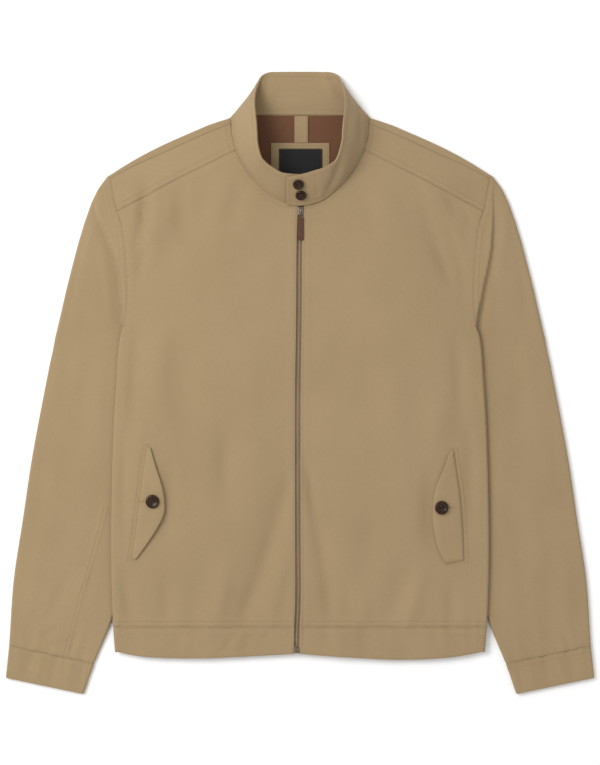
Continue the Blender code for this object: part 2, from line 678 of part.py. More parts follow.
def sleeve_rings(side):
    armhole = (smooth_line(ARMHOLE_YOKE, SEGMENTS["armhole_yoke"])
               + smooth_line(ARMHOLE_FRONT, SEGMENTS["armhole_front"])[1:])
    outer = smooth_line(SLEEVE_OUTER, len(armhole) - 1)
    back = back_armhole()
    heights = [front_height(side * a.x, a.y) for a in armhole]
    # near the underarm the sleeve leaves the seam and turns down past the side fold
    leave = 0.78
    armhole[-1:] = [armhole[-2].lerp(armhole[-1], leave), Vector(UNDERARM_OUTSIDE)]
    outer[-1:] = [outer[-2].lerp(outer[-1], leave - 0.2), outer[-1]]
    back[-1:] = [back[-2].lerp(back[-1], leave), Vector((UNDERARM_OUTSIDE[0], UNDERARM_OUTSIDE[1], 0))]
    heights[-1:] = [heights[-2] + (heights[-1] - heights[-2]) * leave, UNDERARM_OUTSIDE[2]]
    rings = []
    for a, b, c, front_z in zip(armhole, outer, back, heights):
        back_z = min(back_height(c.x, c.y), UNDERARM_OUTSIDE[2] - 3.2)
        rings.append(sleeve_ring(a, b, side, front_z, c, back_z))
    inner_low = smooth_line(SLEEVE_INNER_LOW, SEGMENTS["sleeve_low"])
    outer_low = smooth_line(SLEEVE_OUTER_LOW, SEGMENTS["sleeve_low"] + 1)[1:]
    closed = [sleeve_ring(a, b, side) for a, b in zip(inner_low, outer_low)]
    cuff_inner = smooth_line(CUFF_INNER, SEGMENTS["cuff"])[1:]
    cuff_outer = smooth_line(CUFF_OUTER, SEGMENTS["cuff"])[1:]
    cuff = [sleeve_ring(a, b, side) for a, b in zip(cuff_inner, cuff_outer)]
    return rings, closed, cuff


def build_sleeve(side):
    opened, closed, cuff = sleeve_rings(side)
    gap = SEAM_GAP / 2
    for i, ring in enumerate(opened):
        away = Vector((1, -0.3, 0)) * (gap + SLEEVE_WALL * 0.5 * max(0, 1 - i / 3))
        ring[0] = ring[0] + away
        ring[-1] = ring[-1] + away
    opened[0] = drawn_back(opened[0], opened[1], SHOULDER_TIP_GAP)
    cuff_start = drawn_back(closed[-1], cuff[0], gap)
    closed[-1] = drawn_back(closed[-1], closed[-2], gap)
    name = side_name(side)
    tube("sleeve_" + name, opened + closed, len(opened), side, SLEEVE_WALL)
    tube("cuff_" + name, [cuff_start] + cuff, 0, side, CUFF_WALL)


def tube(name, rows, first_closed, side, wall):
    """A sheet round the arm: rows that are open at the armhole, then rows that close on themselves."""
    vertices, faces = [], []
    for row in rows:
        vertices += [Vector((side * p.x, p.y, p.z)) * MM for p in row]
    width = len(rows[0])
    for r in range(len(rows) - 1):
        closing = 0 if r + 1 < first_closed else 1
        for c in range(width - 1 + closing):
            near, far = r * width, (r + 1) * width
            after = (c + 1) % width
            face = [near + c, near + after, far + after, far + c]
            faces.append(face if side == RIGHT else face[::-1])
    mesh = bpy.data.meshes.new(name)
    mesh.from_pydata(vertices, [], faces)
    mesh.shade_smooth()
    piece = add_object(name, mesh, khaki)
    thicken = piece.modifiers.new("wall", "SOLIDIFY")
    thicken.thickness = wall * MM
    thicken.offset = -1.0


# ---- collar -------------------------------------------------------------------------------------

COLLAR_ROWS = (0.0, 0.25, 0.5, 0.75, 1.0)      # from the free edge down to the neck seam


def fine_pairs(pairs, steps):
    """Smooth points between the rows of a collar table, for both of its edges at once."""
    edges = []
    for column in (0, 1):
        knots = [Vector(pair[column]) for pair in pairs]
        ends = [2 * knots[0] - knots[1]] + knots + [2 * knots[-1] - knots[-2]]
        line = [knots[0]]
        for a, b, c, d in zip(ends, ends[1:], ends[2:], ends[3:]):
            for step in range(1, steps + 1):
                t = step / steps
                line.append(0.5 * (2 * b + (c - a) * t + (2 * a - 5 * b + 4 * c - d) * t ** 2
                                   + (3 * b - a - 3 * c + d) * t ** 3))
        edges.append(line)
    return list(zip(*edges))


def neck_edge():
    """The body's neck edge from the zip round to the middle of the back, for one side."""
    wrap = shoulder_wrap()
    first = zip_edge(NECK_FRONT[0][1] + 0.4, RIGHT)
    front = smooth_line(((first.x, first.y),) + NECK_FRONT[1:], SEGMENTS["neck_front"])
    yoke = smooth_line(NECK_YOKE, SEGMENTS["neck_yoke"])[1:]
    line = [Vector((p.x, p.y, front_height(p.x, p.y))) for p in front + yoke]
    line += [row[0] for row in wrap[-2:0:-1]]
    rows, columns = back_rows()
    return line + [p.copy() for p in rows[len(SHOULDER_ROWS)][columns - 1::-1]]


def collar_columns():
    """Neck and free edge of the collar, from the lapped end round the back to the end below it."""
    table = COLLAR_BACK[::-1] + tuple(COLLAR_RIGHT[:8])
    middle = ((BACK_NECK_MIDDLE, COLLAR_BACK_MIDDLE),)
    half = fine_pairs(middle + table, 24)
    edge = neck_edge()
    places = []
    for neck in edge:
        across = Vector((-neck.x, neck.y, neck.z))
        places.append(min(range(len(half)), key=lambda i: (half[i][0] - across).length))
    # the free edge's points are spread more evenly than the neck edge's
    for _ in range(4):
        evened_out = [(a + 2 * b + c) / 4 for a, b, c in zip(places, places[1:], places[2:])]
        places = [places[0]] + evened_out + [places[-1]]
    columns = []
    for neck, place in zip(edge, places):
        free = half[round(place)][1]
        columns.append((neck, Vector((-free.x, free.y, free.z))))
    lap = fine_pairs(COLLAR_LAP[::-1], 3)
    left = lap + [pair for pair in columns if pair[0].y > 270]
    right = [(Vector((-n.x, n.y, n.z)), Vector((-f.x, f.y, f.z))) for n, f in columns[-2::-1]]
    under = [tuple(Vector(p) for p in pair) for pair in COLLAR_RIGHT[7:]]
    return left + right[:-1] + under


def build_collar():
    columns = collar_columns()
    rows = [[] for _ in COLLAR_ROWS]
    for i, (neck, free) in enumerate(columns):
        before, after = columns[max(0, i - 1)][0], columns[min(len(columns) - 1, i + 1)][0]
        down = neck - free
        outward = down.cross(after - before).normalized()
        bow = COLLAR_BOW * min(1.0, (neck.z + free.z) / 50)
        corner = smoothstep((neck.y - 330) / 12) * smoothstep((abs(neck.x) - 60) / 15)
        seat = neck - down.normalized() * (COLLAR_SEAT + COLLAR_CORNER_SEAT * corner)
        for row, t in zip(rows, COLLAR_ROWS):
            row.append(free.lerp(seat, t) + outward * bow * math.sin(math.pi * t))
    cloth("collar", rows, COLLAR_WALL, khaki)


def collar_front(x, t):
    """A point of the lapped end's outer face: x, and how far up from the neck seam."""
    _, _, _, (neck, free), _ = COLLAR_LAP
    neck, free = Vector(neck), Vector(free)
    point = neck.lerp(free, t)
    outward = (neck - free).cross(Vector((1, 0, 0))).normalized()
    point += outward * COLLAR_BOW * math.sin(math.pi * t)
    return Vector((x, point.y, point.z))


# ---- pocket flaps -------------------------------------------------------------------------------

def flap_place(side, x, y):
    """How far across the flap a point lies, from 0 at the sewn edge to 1 at the free edge."""
    rows = FLAP_ROWS[side]
    for (sewn0, free0), (sewn1, free1) in zip(rows, rows[1:]):
        if sewn1[1] <= y:
            t = (sewn0[1] - y) / (sewn0[1] - sewn1[1])
            sewn, free = sewn0[0] + t * (sewn1[0] - sewn0[0]), free0[0] + t * (free1[0] - free0[0])
            return (x - sewn) / (free - sewn)
    return 0.0


def flap_height(side, x, y, across):
    return front_height(x, y) + LAY_GAP + FLAP_WALL + FLAP_SPRING[side] * across


def build_flap(side):
    columns, steps = 5, 10
    rows = []
    sewn_line = smooth_line([row[0] for row in FLAP_ROWS[side]], steps)
    free_line = smooth_line([row[1] for row in FLAP_ROWS[side]], steps)
    for r, (sewn, free) in enumerate(zip(sewn_line, free_line)):
        # the flap stands off most in the middle of its length
        spring = math.sin(math.pi * (0.1 + 0.8 * r / steps))
        row = []
        for c in range(columns):
            across = c / (columns - 1)
            p = sewn.lerp(free, across)
            row.append(Vector((p.x, p.y, flap_height(side, p.x, p.y, across * spring))))
        rows.append(row if side == RIGHT else row[::-1])
    cloth("pocket_flap_" + side_name(side), rows, FLAP_WALL, khaki)


# ---- buttons ------------------------------------------------------------------------------------

def button(name, size, seat, normal):
    """A turned horn button: a raised rim round a dished middle, flat below."""
    r = size / 2
    profile = ((0.0, 0.62), (0.5, 0.62), (0.68, 0.95), (0.86, 1.0), (0.97, 0.8), (1.0, 0.5), (0.88, 0.0),
               (0.0, 0.0))
    points = [(u * r * MM, 0.0, v * BUTTON_THICK * MM) for u, v in profile]
    mesh = bpy.data.meshes.new(name)
    mesh.from_pydata(points, [(i, i + 1) for i in range(len(points) - 1)], [])
    piece = add_object(name, mesh, horn)
    turn = piece.modifiers.new("turn", "SCREW")
    turn.steps = turn.render_steps = BUTTON_STEPS
    turn.use_merge_vertices = True
    turn.merge_threshold = 0.00001
    piece.location = seat * MM
    piece.rotation_mode = "QUATERNION"
    piece.rotation_quaternion = Vector((0, 0, 1)).rotation_difference(normal)
    return piece


def build_buttons():
    for name, (x, t) in COLLAR_BUTTONS.items():
        below, above = collar_front(x, t - 0.1), collar_front(x, t + 0.1)
        normal = Vector((1, 0, 0)).cross(above - below).normalized()
        seat = collar_front(x, t) + normal * 2 * LAY_GAP
        button(name, COLLAR_BUTTON_SIZE, seat, normal)
    for side, (x, y) in POCKET_BUTTON.items():
        def height(px, py):
            return flap_height(side, px, py, flap_place(side, px, py))
        reach = 7.0
        slope_x = (height(x + reach, y) - height(x - reach, y)) / (2 * reach)
        slope_y = (height(x, y + reach) - height(x, y - reach)) / (2 * reach)
        normal = Vector((-slope_x, -slope_y, 1)).normalized()
        seat = Vector((x, y, height(x, y) + 2 * LAY_GAP))
        button("pocket_button_" + side_name(side), POCKET_BUTTON_SIZE, seat, normal)


# ---- zip ----------------------------------------------------------------------------------------

def tape_height(x, y):
    return front_height(x, y) - TAPE_DROP


def build_tape(side):
    rows = []
    for i in range(ZIP_TAPE_ROWS + 1):
        y = ZIP_TAPE_TOP_Y + (ZIP_TAPE_END_Y - ZIP_TAPE_TOP_Y) * i / ZIP_TAPE_ROWS
        row = []
        for reach in (SEAM_GAP / 2 + 0.1, ZIP_OPENING / 2, ZIP_TAPE_REACH):
            x = zip_x(y) + side * reach
            row.append(Vector((x, y, tape_height(x, y))))
        rows.append(row if side == LEFT else row[::-1])
    cloth("zip_tape_" + side_name(side), rows, ZIP_TAPE_WALL, tape)


def block(name, size, centre, finish, round_edge):
    """A small block with rounded edges."""
    bpy.ops.mesh.primitive_cube_add(size=1.0)
    piece = bpy.context.object
    piece.name = piece.data.name = name
    for vertex in piece.data.vertices:
        vertex.co = Vector(a * b * MM for a, b in zip(vertex.co, size))
    piece.data.materials.append(finish)
    soften = piece.modifiers.new("edges", "BEVEL")
    soften.width, soften.segments = round_edge * MM, 2
    for owner in piece.users_collection:
        owner.objects.unlink(piece)
    jacket.objects.link(piece)
    piece.location = centre * MM
    return piece


def build_zip():
    for side in (RIGHT, LEFT):
        build_tape(side)
    surface = front_height(zip_x(SLIDER_Y), SLIDER_Y)
    bottom = surface - TAPE_DROP + SEAM_GAP
    block("zip_slider", (SLIDER_WIDTH, SLIDER_LENGTH, SLIDER_HEIGHT),
          Vector((zip_x(SLIDER_Y), SLIDER_Y, bottom + SLIDER_HEIGHT / 2)), metal, 0.9)
    slider_top = bottom + SLIDER_HEIGHT
    hinge = bpy.data.objects.new("zip_pull_hinge", None)
    hinge.empty_display_size = 0.01
    jacket.objects.link(hinge)
    hinge.location = Vector((zip_x(PULL_HINGE_Y), PULL_HINGE_Y, slider_top + 1.0)) * MM
    link = block("zip_pull_link", (LINK_WIDTH, LINK_LENGTH, LINK_WALL),
                 Vector((0, 0.6 - LINK_LENGTH / 2, 0)), metal, 0.4)
    tab_y = PULL_TOP_Y - PULL_LENGTH / 2
    tab_z = surface + 0.6 + PULL_WALL / 2
    tab = block("zip_pull_tab", (PULL_WIDTH, PULL_LENGTH, PULL_WALL),
                Vector((0, tab_y - PULL_HINGE_Y, tab_z - slider_top - 1.0)), leather, 0.7)
    link.parent = tab.parent = hinge
    box_x = zip_x(BOX_Y)
    box_z = tape_height(box_x, BOX_Y) + SEAM_GAP + BOX_HEIGHT / 2
    block("zip_box", (BOX_WIDTH, BOX_LENGTH, BOX_HEIGHT), Vector((box_x, BOX_Y, box_z)), metal, 0.7)


# ---- inside the neck ----------------------------------------------------------------------------

def flat_cloth(name, rows_y_x, bottom, wall, finish, columns):
    """A flat piece that lies face up: each row is its y and the x of its two ends."""
    top = bottom + wall
    rows = [[Vector((a + (b - a) * c / columns, y, top)) for c in range(columns + 1)]
            for y, a, b in rows_y_x]
    cloth(name, rows, wall, finish)


def build_neck_inside():
    lining_z = SHELL_WALL + SEAM_GAP
    patch_z = lining_z + LINING_WALL + SEAM_GAP
    label_z = patch_z + LINING_WALL + SEAM_GAP
    flat_cloth("back_lining", [(y, -x, x) for y, x in LINING_ROWS], lining_z, LINING_WALL, brown, 6)
    flat_cloth("neck_patch", [(y, *PATCH_X) for y in PATCH_Y], patch_z, LINING_WALL, khaki, 2)
    flat_cloth("hanger_loop", [(y, *LOOP_X) for y in LOOP_Y], patch_z, LINING_WALL, khaki, 1)
    flat_cloth("neck_label", [(y, *LABEL_X) for y in LABEL_Y], label_z, LINING_WALL, navy, 2)


# ---- the jacket ---------------------------------------------------------------------------------

for old in list(bpy.data.objects):
    bpy.data.objects.remove(old)
jacket = bpy.data.collections.new("bomber_jacket")
bpy.context.scene.collection.children.link(jacket)

khaki = material("khaki_cotton", (0.40, 0.29, 0.165), 0.82)
brown = material("brown_lining", (0.125, 0.057, 0.028), 0.7)
navy = material("navy_label", (0.014, 0.014, 0.018), 0.6)
tape = material("zip_tape", (0.13, 0.085, 0.05), 0.75)
horn = material("brown_horn", (0.05, 0.025, 0.014), 0.3)
metal = material("dark_metal", (0.16, 0.13, 0.11), 0.35, 0.9)
leather = material("brown_leather", (0.09, 0.037, 0.018), 0.5)

for wearer_side in (RIGHT, LEFT):
    build_front(wearer_side)
    build_yoke(wearer_side)
    build_sleeve(wearer_side)
    build_flap(wearer_side)
build_back()
build_collar()
build_neck_inside()
build_zip()
build_buttons()
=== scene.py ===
import math

import bpy
import numpy as np
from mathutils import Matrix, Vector


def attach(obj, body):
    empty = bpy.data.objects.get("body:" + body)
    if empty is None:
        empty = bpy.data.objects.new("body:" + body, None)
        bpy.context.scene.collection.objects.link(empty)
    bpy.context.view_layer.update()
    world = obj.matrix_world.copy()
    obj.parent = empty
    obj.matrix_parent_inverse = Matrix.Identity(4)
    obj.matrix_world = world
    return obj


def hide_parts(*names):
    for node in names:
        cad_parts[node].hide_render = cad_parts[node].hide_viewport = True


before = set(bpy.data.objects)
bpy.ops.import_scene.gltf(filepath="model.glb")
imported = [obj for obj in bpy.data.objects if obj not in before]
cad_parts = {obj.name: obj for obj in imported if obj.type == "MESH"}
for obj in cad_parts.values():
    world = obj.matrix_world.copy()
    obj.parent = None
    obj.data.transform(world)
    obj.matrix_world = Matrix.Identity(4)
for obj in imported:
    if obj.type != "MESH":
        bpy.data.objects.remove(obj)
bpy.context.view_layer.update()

# ---- The back -----------------------------------------------------------------------------------
# One piece of khaki cotton, from the waist seam up to the neck, whose top wraps forward over the
# shoulders to the topstitched shoulder seam. It lies face down on the floor, and rises at its sides,
# where the sleeves are tucked beneath it.

# sizes are in millimetres; x is the distance from the middle line where both sides share a line
MM = 0.001
RIGHT, LEFT = -1, 1                     # the wearer's sides
SIDE_NAME = {RIGHT: "right", LEFT: "left"}
SHELL_WALL = 1.5
SEAM_GAP = 0.16                         # between the edges of two sewn pieces
LAYER_GAP = 0.3                         # between two layers that lie on each other
SLEEVE_THICK = 6.6                      # a flattened sleeve, both layers
BODY_REST = SLEEVE_THICK + 0.4          # the body's underside where a sleeve lies below it
REST_BLEND = 38.0                       # width over which the back comes down to the floor
REST_REACH = 23.0
SIDE_ROUND = 3.6                        # how far the side fold bulges past the flat of the front
SHOULDER_ROUND = 3.0
HEM_SEAM_Y = -320.8
UNDERARM_Y = 73.9
CROWN_REACH = 125.0                     # from the side, how far in the front has risen to its crown
SHOULDER_SEAM = ((91, 342.2), (134, 324.5), (180, 303.5), (220, 285.5), (249.5, 269.5))
SHOULDER_EDGE = ((91.8, 349.6), (118.8, 340.6), (134.6, 334), (179.5, 314.2), (217.8, 294.4),
                 (253, 272.6))
ARMHOLE_YOKE = ((249.5, 269.5), (246, 248), (240.9, 226))
ARMHOLE_FRONT = ((240.9, 226), (235, 208.6), (231.7, 188.8), (229, 159.7), (227.2, 122.8),
                 (228.4, 96.4), (230.7, 73.9))
BACK_NECK = ((0, 353.9), (29, 353.9), (55.4, 353.4), (72.6, 352.8), (84.4, 352.0), (91.5, 346.6))
# side of the body: y, x of the side fold, how far under it the side seam lies
SIDE_EDGE = ((73.9, 234.3, 1.2), (50.2, 238.3, 8.0), (4.0, 241.6, 13.0), (-48.8, 244.9, 14.0),
             (-154.4, 248.2, 14.0), (-233.6, 248.8, 14.0), (-286.4, 247.5, 14.0),
             (-320.8, 246.0, 14.0), (-354.0, 243.6, 14.0))
# height of the front's outer face: y, at the middle, at the side
FRONT_HEIGHT = ((350, 5.0, 4.6), (330, 9.5, 5.2), (306, 14.0, 5.6), (282, 17.2, 6.0), (260, 19.0, 6.8),
                (235, 19.6, 8.6), (190, 20.0, 11.0), (120, 20.4, 12.6), (73.9, 20.4, 13.8),
                (0, 20.0, 14.4), (-100, 18.6, 14.4), (-200, 16.4, 14.2), (-280, 14.2, 13.6),
                (-320.8, 12.8, 12.4), (-362, 11.6, 9.8))
# inner edge of the sleeve that lies under the body: y, x
SLEEVE_UNDER = ((136, 300), (84, 233), (64, 205), (34, 170), (-8, 158), (-40, 163), (-92, 181),
                (-156, 204), (-234, 226), (-310, 247), (-370, 272))
# the body's largest folds: x and y of the start, the middle and the end, half width, height
BODY_FOLDS = (
    (-204, 262, -207, 215, -213, 150, 11, -3.64), (-152, 215, -178, 162, -199, 133, 22, -2.91),
    (-188, 255, -191, 205, -210, 150, 10, 2.18), (148, 268, 172, 205, 194, 143, 15, -4),
    (172, 257, 205, 212, 223, 110, 13, -3.28), (-149, 80, -152, -30, -149, -130, 26, -2.18),
    (-98, -70, -101, -110, -96, -155, 22, -2.73), (-26, -115, -38, -200, -76, -318, 20, -2.55),
    (-123, -245, -134, -280, -148, -318, 16, -2.18), (30, -100, 36, -195, 46, -305, 15, -2.18),
    (139, -245, 128, -280, 112, -318, 16, -2.55), (181, -20, 184, -50, 181, -82, 15, 2.18),
)


def even(count):
    return np.linspace(0, 1, count + 1)


def reach_along(line):
    """How far along a line each of its points is."""
    return np.concatenate([[0], np.cumsum(np.linalg.norm(np.diff(line, axis=0), axis=1))])


def refine(rows, times):
    """More rows between the given ones, on smooth curves through them."""
    rows = np.asarray(rows, float)
    ends = np.concatenate([2 * rows[:1] - rows[1:2], rows, 2 * rows[-1:] - rows[-2:-1]])
    finer = [rows[0]]
    for a, b, c, d in zip(ends, ends[1:], ends[2:], ends[3:]):
        for step in range(1, times + 1):
            t = step / times
            finer.append(0.5 * (2 * b + (c - a) * t + (2 * a - 5 * b + 4 * c - d) * t ** 2
                                + (3 * b - a - 3 * c + d) * t ** 3))
    return np.array(finer)


def smooth_curve(points, shares):
    """Points at given shares, from 0 to 1, of the length of a smooth curve through its knots."""
    fine = refine(points, 24)
    reach = reach_along(fine)
    wanted = np.asarray(shares) * reach[-1]
    return np.stack([np.interp(wanted, reach, column) for column in fine.T], axis=1)


def beside(distance, width):
    """1 at a distance of nothing, and a soft fade to 0 over the width."""
    return np.exp(-(distance / width) ** 2)


def smoothstep(t):
    t = np.clip(t, 0.0, 1.0)
    return t * t * (3 - 2 * t)


def read_table(table, y, column):
    """A column of a table whose first column is y, read smoothly between its rows."""
    rows = np.array(table, float)[::-1]
    at, value = rows[:, 0], rows[:, column]
    y = np.clip(y, at[0], at[-1])
    slope = np.diff(value) / np.diff(at)
    tangent = np.concatenate([slope[:1], (slope[:-1] + slope[1:]) / 2, slope[-1:]])
    i = np.clip(np.searchsorted(at, y, side="right") - 1, 0, len(at) - 2)
    span = at[i + 1] - at[i]
    t = (y - at[i]) / span
    return ((2 * t ** 3 - 3 * t ** 2 + 1) * value[i] + (t ** 3 - 2 * t ** 2 + t) * span * tangent[i]
            + (3 * t ** 2 - 2 * t ** 3) * value[i + 1] + (t ** 3 - t ** 2) * span * tangent[i + 1])


def fold_height(x, y, folds):
    """Sum of soft folds at each point, each fading out towards its two ends."""
    x, y = np.asarray(x, float), np.asarray(y, float)
    t = np.linspace(0, 1, 25)
    total = np.zeros(x.shape)
    for start_x, start_y, middle_x, middle_y, end_x, end_y, half_width, height in folds:
        px = (1 - t) ** 2 * start_x + 2 * t * (1 - t) * middle_x + t * t * end_x
        py = (1 - t) ** 2 * start_y + 2 * t * (1 - t) * middle_y + t * t * end_y
        distance = np.hypot(x[..., None] - px, y[..., None] - py)
        fade = np.sin(math.pi * (0.12 + 0.76 * t[distance.argmin(-1)]))
        total += height * fade * beside(distance.min(-1), half_width)
    return total


def side_x(y):
    """Distance from the middle line to the edge of the body's flat front."""
    outline = np.array(ARMHOLE_FRONT[::-1] + ARMHOLE_YOKE[-2::-1] + SHOULDER_SEAM[-2::-1])
    above = np.interp(y, outline[:, 1], outline[:, 0])
    return np.where(y <= UNDERARM_Y, read_table(SIDE_EDGE, y, 1) - SIDE_ROUND, above)


def front_height(x, y):
    """Height of the front's outer face, without its small relief."""
    x, y = np.asarray(x, float), np.asarray(y, float)
    middle, side = read_table(FRONT_HEIGHT, y, 1), read_table(FRONT_HEIGHT, y, 2)
    inward = np.maximum(0.0, (side_x(y) - np.abs(x)) / CROWN_REACH)
    rise = np.sin(0.5 * math.pi * np.minimum(1.0, inward))
    return side + (middle - side) * rise + fold_height(x, y, BODY_FOLDS) * smoothstep(inward * 4 + 0.3)


def back_height(x, y):
    """Height of the back's outer face: on the floor, or on a sleeve tucked below it."""
    past = np.abs(x) - read_table(SLEEVE_UNDER, y, 1)
    raised = BODY_REST * smoothstep((past + REST_REACH + REST_BLEND) / REST_BLEND)
    return np.where(y > SLEEVE_UNDER[0][0], 0.0, raised)


def coons(top, bottom, start, end, u, v):
    """A grid between four edges: top and bottom run along a row, start and end down the rows."""
    u, v = u[None, :, None], v[:, None, None]
    across = start[:, None] * (1 - u) + end[:, None] * u
    down = top[None] * (1 - v) + bottom[None] * v
    corners = ((top[0] * (1 - u) + top[-1] * u) * (1 - v) + (bottom[0] * (1 - u) + bottom[-1] * u) * v)
    return across + down - corners


def toward(edge, inside):
    """An edge drawn back by half a seam's gap towards the points inside it."""
    step = inside - edge
    return edge + step * (SEAM_GAP / 2) / np.linalg.norm(step, axis=-1, keepdims=True)


def outward_normals(grid, around=False):
    """Outward normal at each point of a grid whose rows run down and columns to the right, seen from
    outside. A grid that goes right round closes on itself."""
    down = np.gradient(grid, axis=0)
    if around:
        right = np.roll(grid, -1, axis=1) - np.roll(grid, 1, axis=1)
    else:
        right = np.gradient(grid, axis=1)
    normal = np.cross(down, right)
    return normal / np.maximum(1e-9, np.linalg.norm(normal, axis=-1, keepdims=True))


def plan_uv(grid):
    """The cloth's threads run straight down and across the jacket as it lies."""
    return grid[..., :2] * MM


def cloth(name, grid, wall, finish, uv, seam=None, closed_from=None):
    """A thin shell from a grid of points on its outer face, thickened inward, with soft rims. A point
    may be nan where the piece has none. Rows from closed_from on go right round. The attribute seam
    is 1 on a seam and fades to 0 away from it."""
    rows, columns = grid.shape[:2]
    there = ~np.isnan(grid[..., 0])
    number = np.cumsum(there).reshape(there.shape) - 1
    wrap = np.column_stack([np.arange(columns), np.roll(np.arange(columns), -1)])
    faces, corners = [], []
    for r in range(rows - 1):
        last = columns if closed_from is not None and r + 1 >= closed_from else columns - 1
        for c, after in wrap[:last]:
            if there[r, c] and there[r + 1, c] and there[r + 1, after] and there[r, after]:
                faces.append([number[r, c], number[r + 1, c], number[r + 1, after], number[r, after]])
                beyond = c + 1 if uv.shape[1] > columns else after
                corners += [uv[r, c], uv[r + 1, c], uv[r + 1, beyond], uv[r, beyond]]
    mesh = bpy.data.meshes.new(name)
    mesh.from_pydata((grid[there] * MM).tolist(), [], faces)
    mesh.shade_smooth()
    layer = mesh.uv_layers.new(name="cloth")
    layer.data.foreach_set("uv", np.array(corners, np.float32).ravel())
    # the seam attribute carries the mask of painted shade along seams and rows of stitches
    near = mesh.attributes.new("seam", "FLOAT", "POINT")
    amount = np.zeros(there.shape) if seam is None else seam
    near.data.foreach_set("value", amount[there].astype(np.float32))
    mesh.materials.append(finish)
    draft = placed_object(name + "_draft", mesh)
    thicken = draft.modifiers.new("wall", "SOLIDIFY")
    thicken.thickness, thicken.offset = wall * MM, -1.0
    rim = draft.modifiers.new("rim", "BEVEL")
    rim.width, rim.segments = 0.16 * wall * MM, 2
    rim.limit_method, rim.angle_limit = "ANGLE", math.radians(50)
    piece = made_plain(draft, name)
    for vertex in piece.data.vertices:
        vertex.co.z = max(vertex.co.z, 0.0)
    return piece


def placed_object(name, data):
    """A new object in the scene, with the given mesh, curve, lamp or camera."""
    made = bpy.data.objects.new(name, data)
    bpy.context.scene.collection.objects.link(made)
    return made


def made_plain(draft, name):
    """A draft's evaluated form as an object of its own, with a plain mesh and no modifier."""
    view = bpy.context.evaluated_depsgraph_get()
    mesh = bpy.data.meshes.new_from_object(draft.evaluated_get(view))
    mesh.name = name
    bpy.data.objects.remove(draft)
    return placed_object(name, mesh)


def new_group(name, inputs, outputs):
    """An empty shader node group with its sockets; returns it with its input and output nodes."""
    group = bpy.data.node_groups.new(name, "ShaderNodeTree")
    for socket, kind, value in inputs:
        made = group.interface.new_socket(socket, in_out="INPUT", socket_type=kind)
        if value is not None:
            made.default_value = value
    for socket, kind in outputs:
        group.interface.new_socket(socket, in_out="OUTPUT", socket_type=kind)
    return group, group.nodes.new("NodeGroupInput"), group.nodes.new("NodeGroupOutput")


def node(tree, kind, **settings):
    """A node with its properties set. input_NUMBER or input_NAME sets a socket's value or links it to
    another socket, or to another node's first output."""
    made = tree.nodes.new(kind)
    for key, value in settings.items():
        if key.startswith("input_"):
            place = key[6:]
            socket = made.inputs[int(place)] if place.isdigit() else made.inputs[place.replace("_", " ")]
            if isinstance(value, bpy.types.Node):
                value = value.outputs[0]
            if isinstance(value, bpy.types.NodeSocket):
                tree.links.new(value, socket)
            else:
                socket.default_value = value
        else:
            setattr(made, key, value)
    return made


def weave_group():
    """Threads of a twill: a height and a shade that follow the cloth's own UV map, in metres."""
    group, given, result = new_group(
        "twill weave", (("Vector", "NodeSocketVector", None), ("Pitch", "NodeSocketFloat", 0.0006)),
        (("Height", "NodeSocketFloat"), ("Shade", "NodeSocketFloat")))
    band = node(group, "ShaderNodeMath", operation="DIVIDE", input_0=0.314, input_1=given.outputs["Pitch"])
    diagonal = node(group, "ShaderNodeTexWave", wave_type="BANDS", bands_direction="DIAGONAL",
                    wave_profile="SIN", input_Vector=given.outputs["Vector"],
                    input_Scale=band, input_Distortion=0.0)
    finer = node(group, "ShaderNodeMath", operation="MULTIPLY", input_0=band, input_1=1.6)
    weft = node(group, "ShaderNodeTexWave", wave_type="BANDS", bands_direction="Y", wave_profile="SIN",
                input_Vector=given.outputs["Vector"], input_Scale=finer)
    both = node(group, "ShaderNodeMath", operation="MULTIPLY_ADD", input_0=weft.outputs["Fac"],
                input_1=0.4, input_2=diagonal.outputs["Fac"])
    slub = node(group, "ShaderNodeTexNoise", input_Vector=given.outputs["Vector"], input_Scale=900.0,
                input_Detail=2.0)
    shade = node(group, "ShaderNodeMath", operation="MULTIPLY", input_0=both,
                 input_1=slub.outputs["Fac"])
    group.links.new(both.outputs[0], result.inputs["Height"])
    group.links.new(shade.outputs[0], result.inputs["Shade"])
    return group


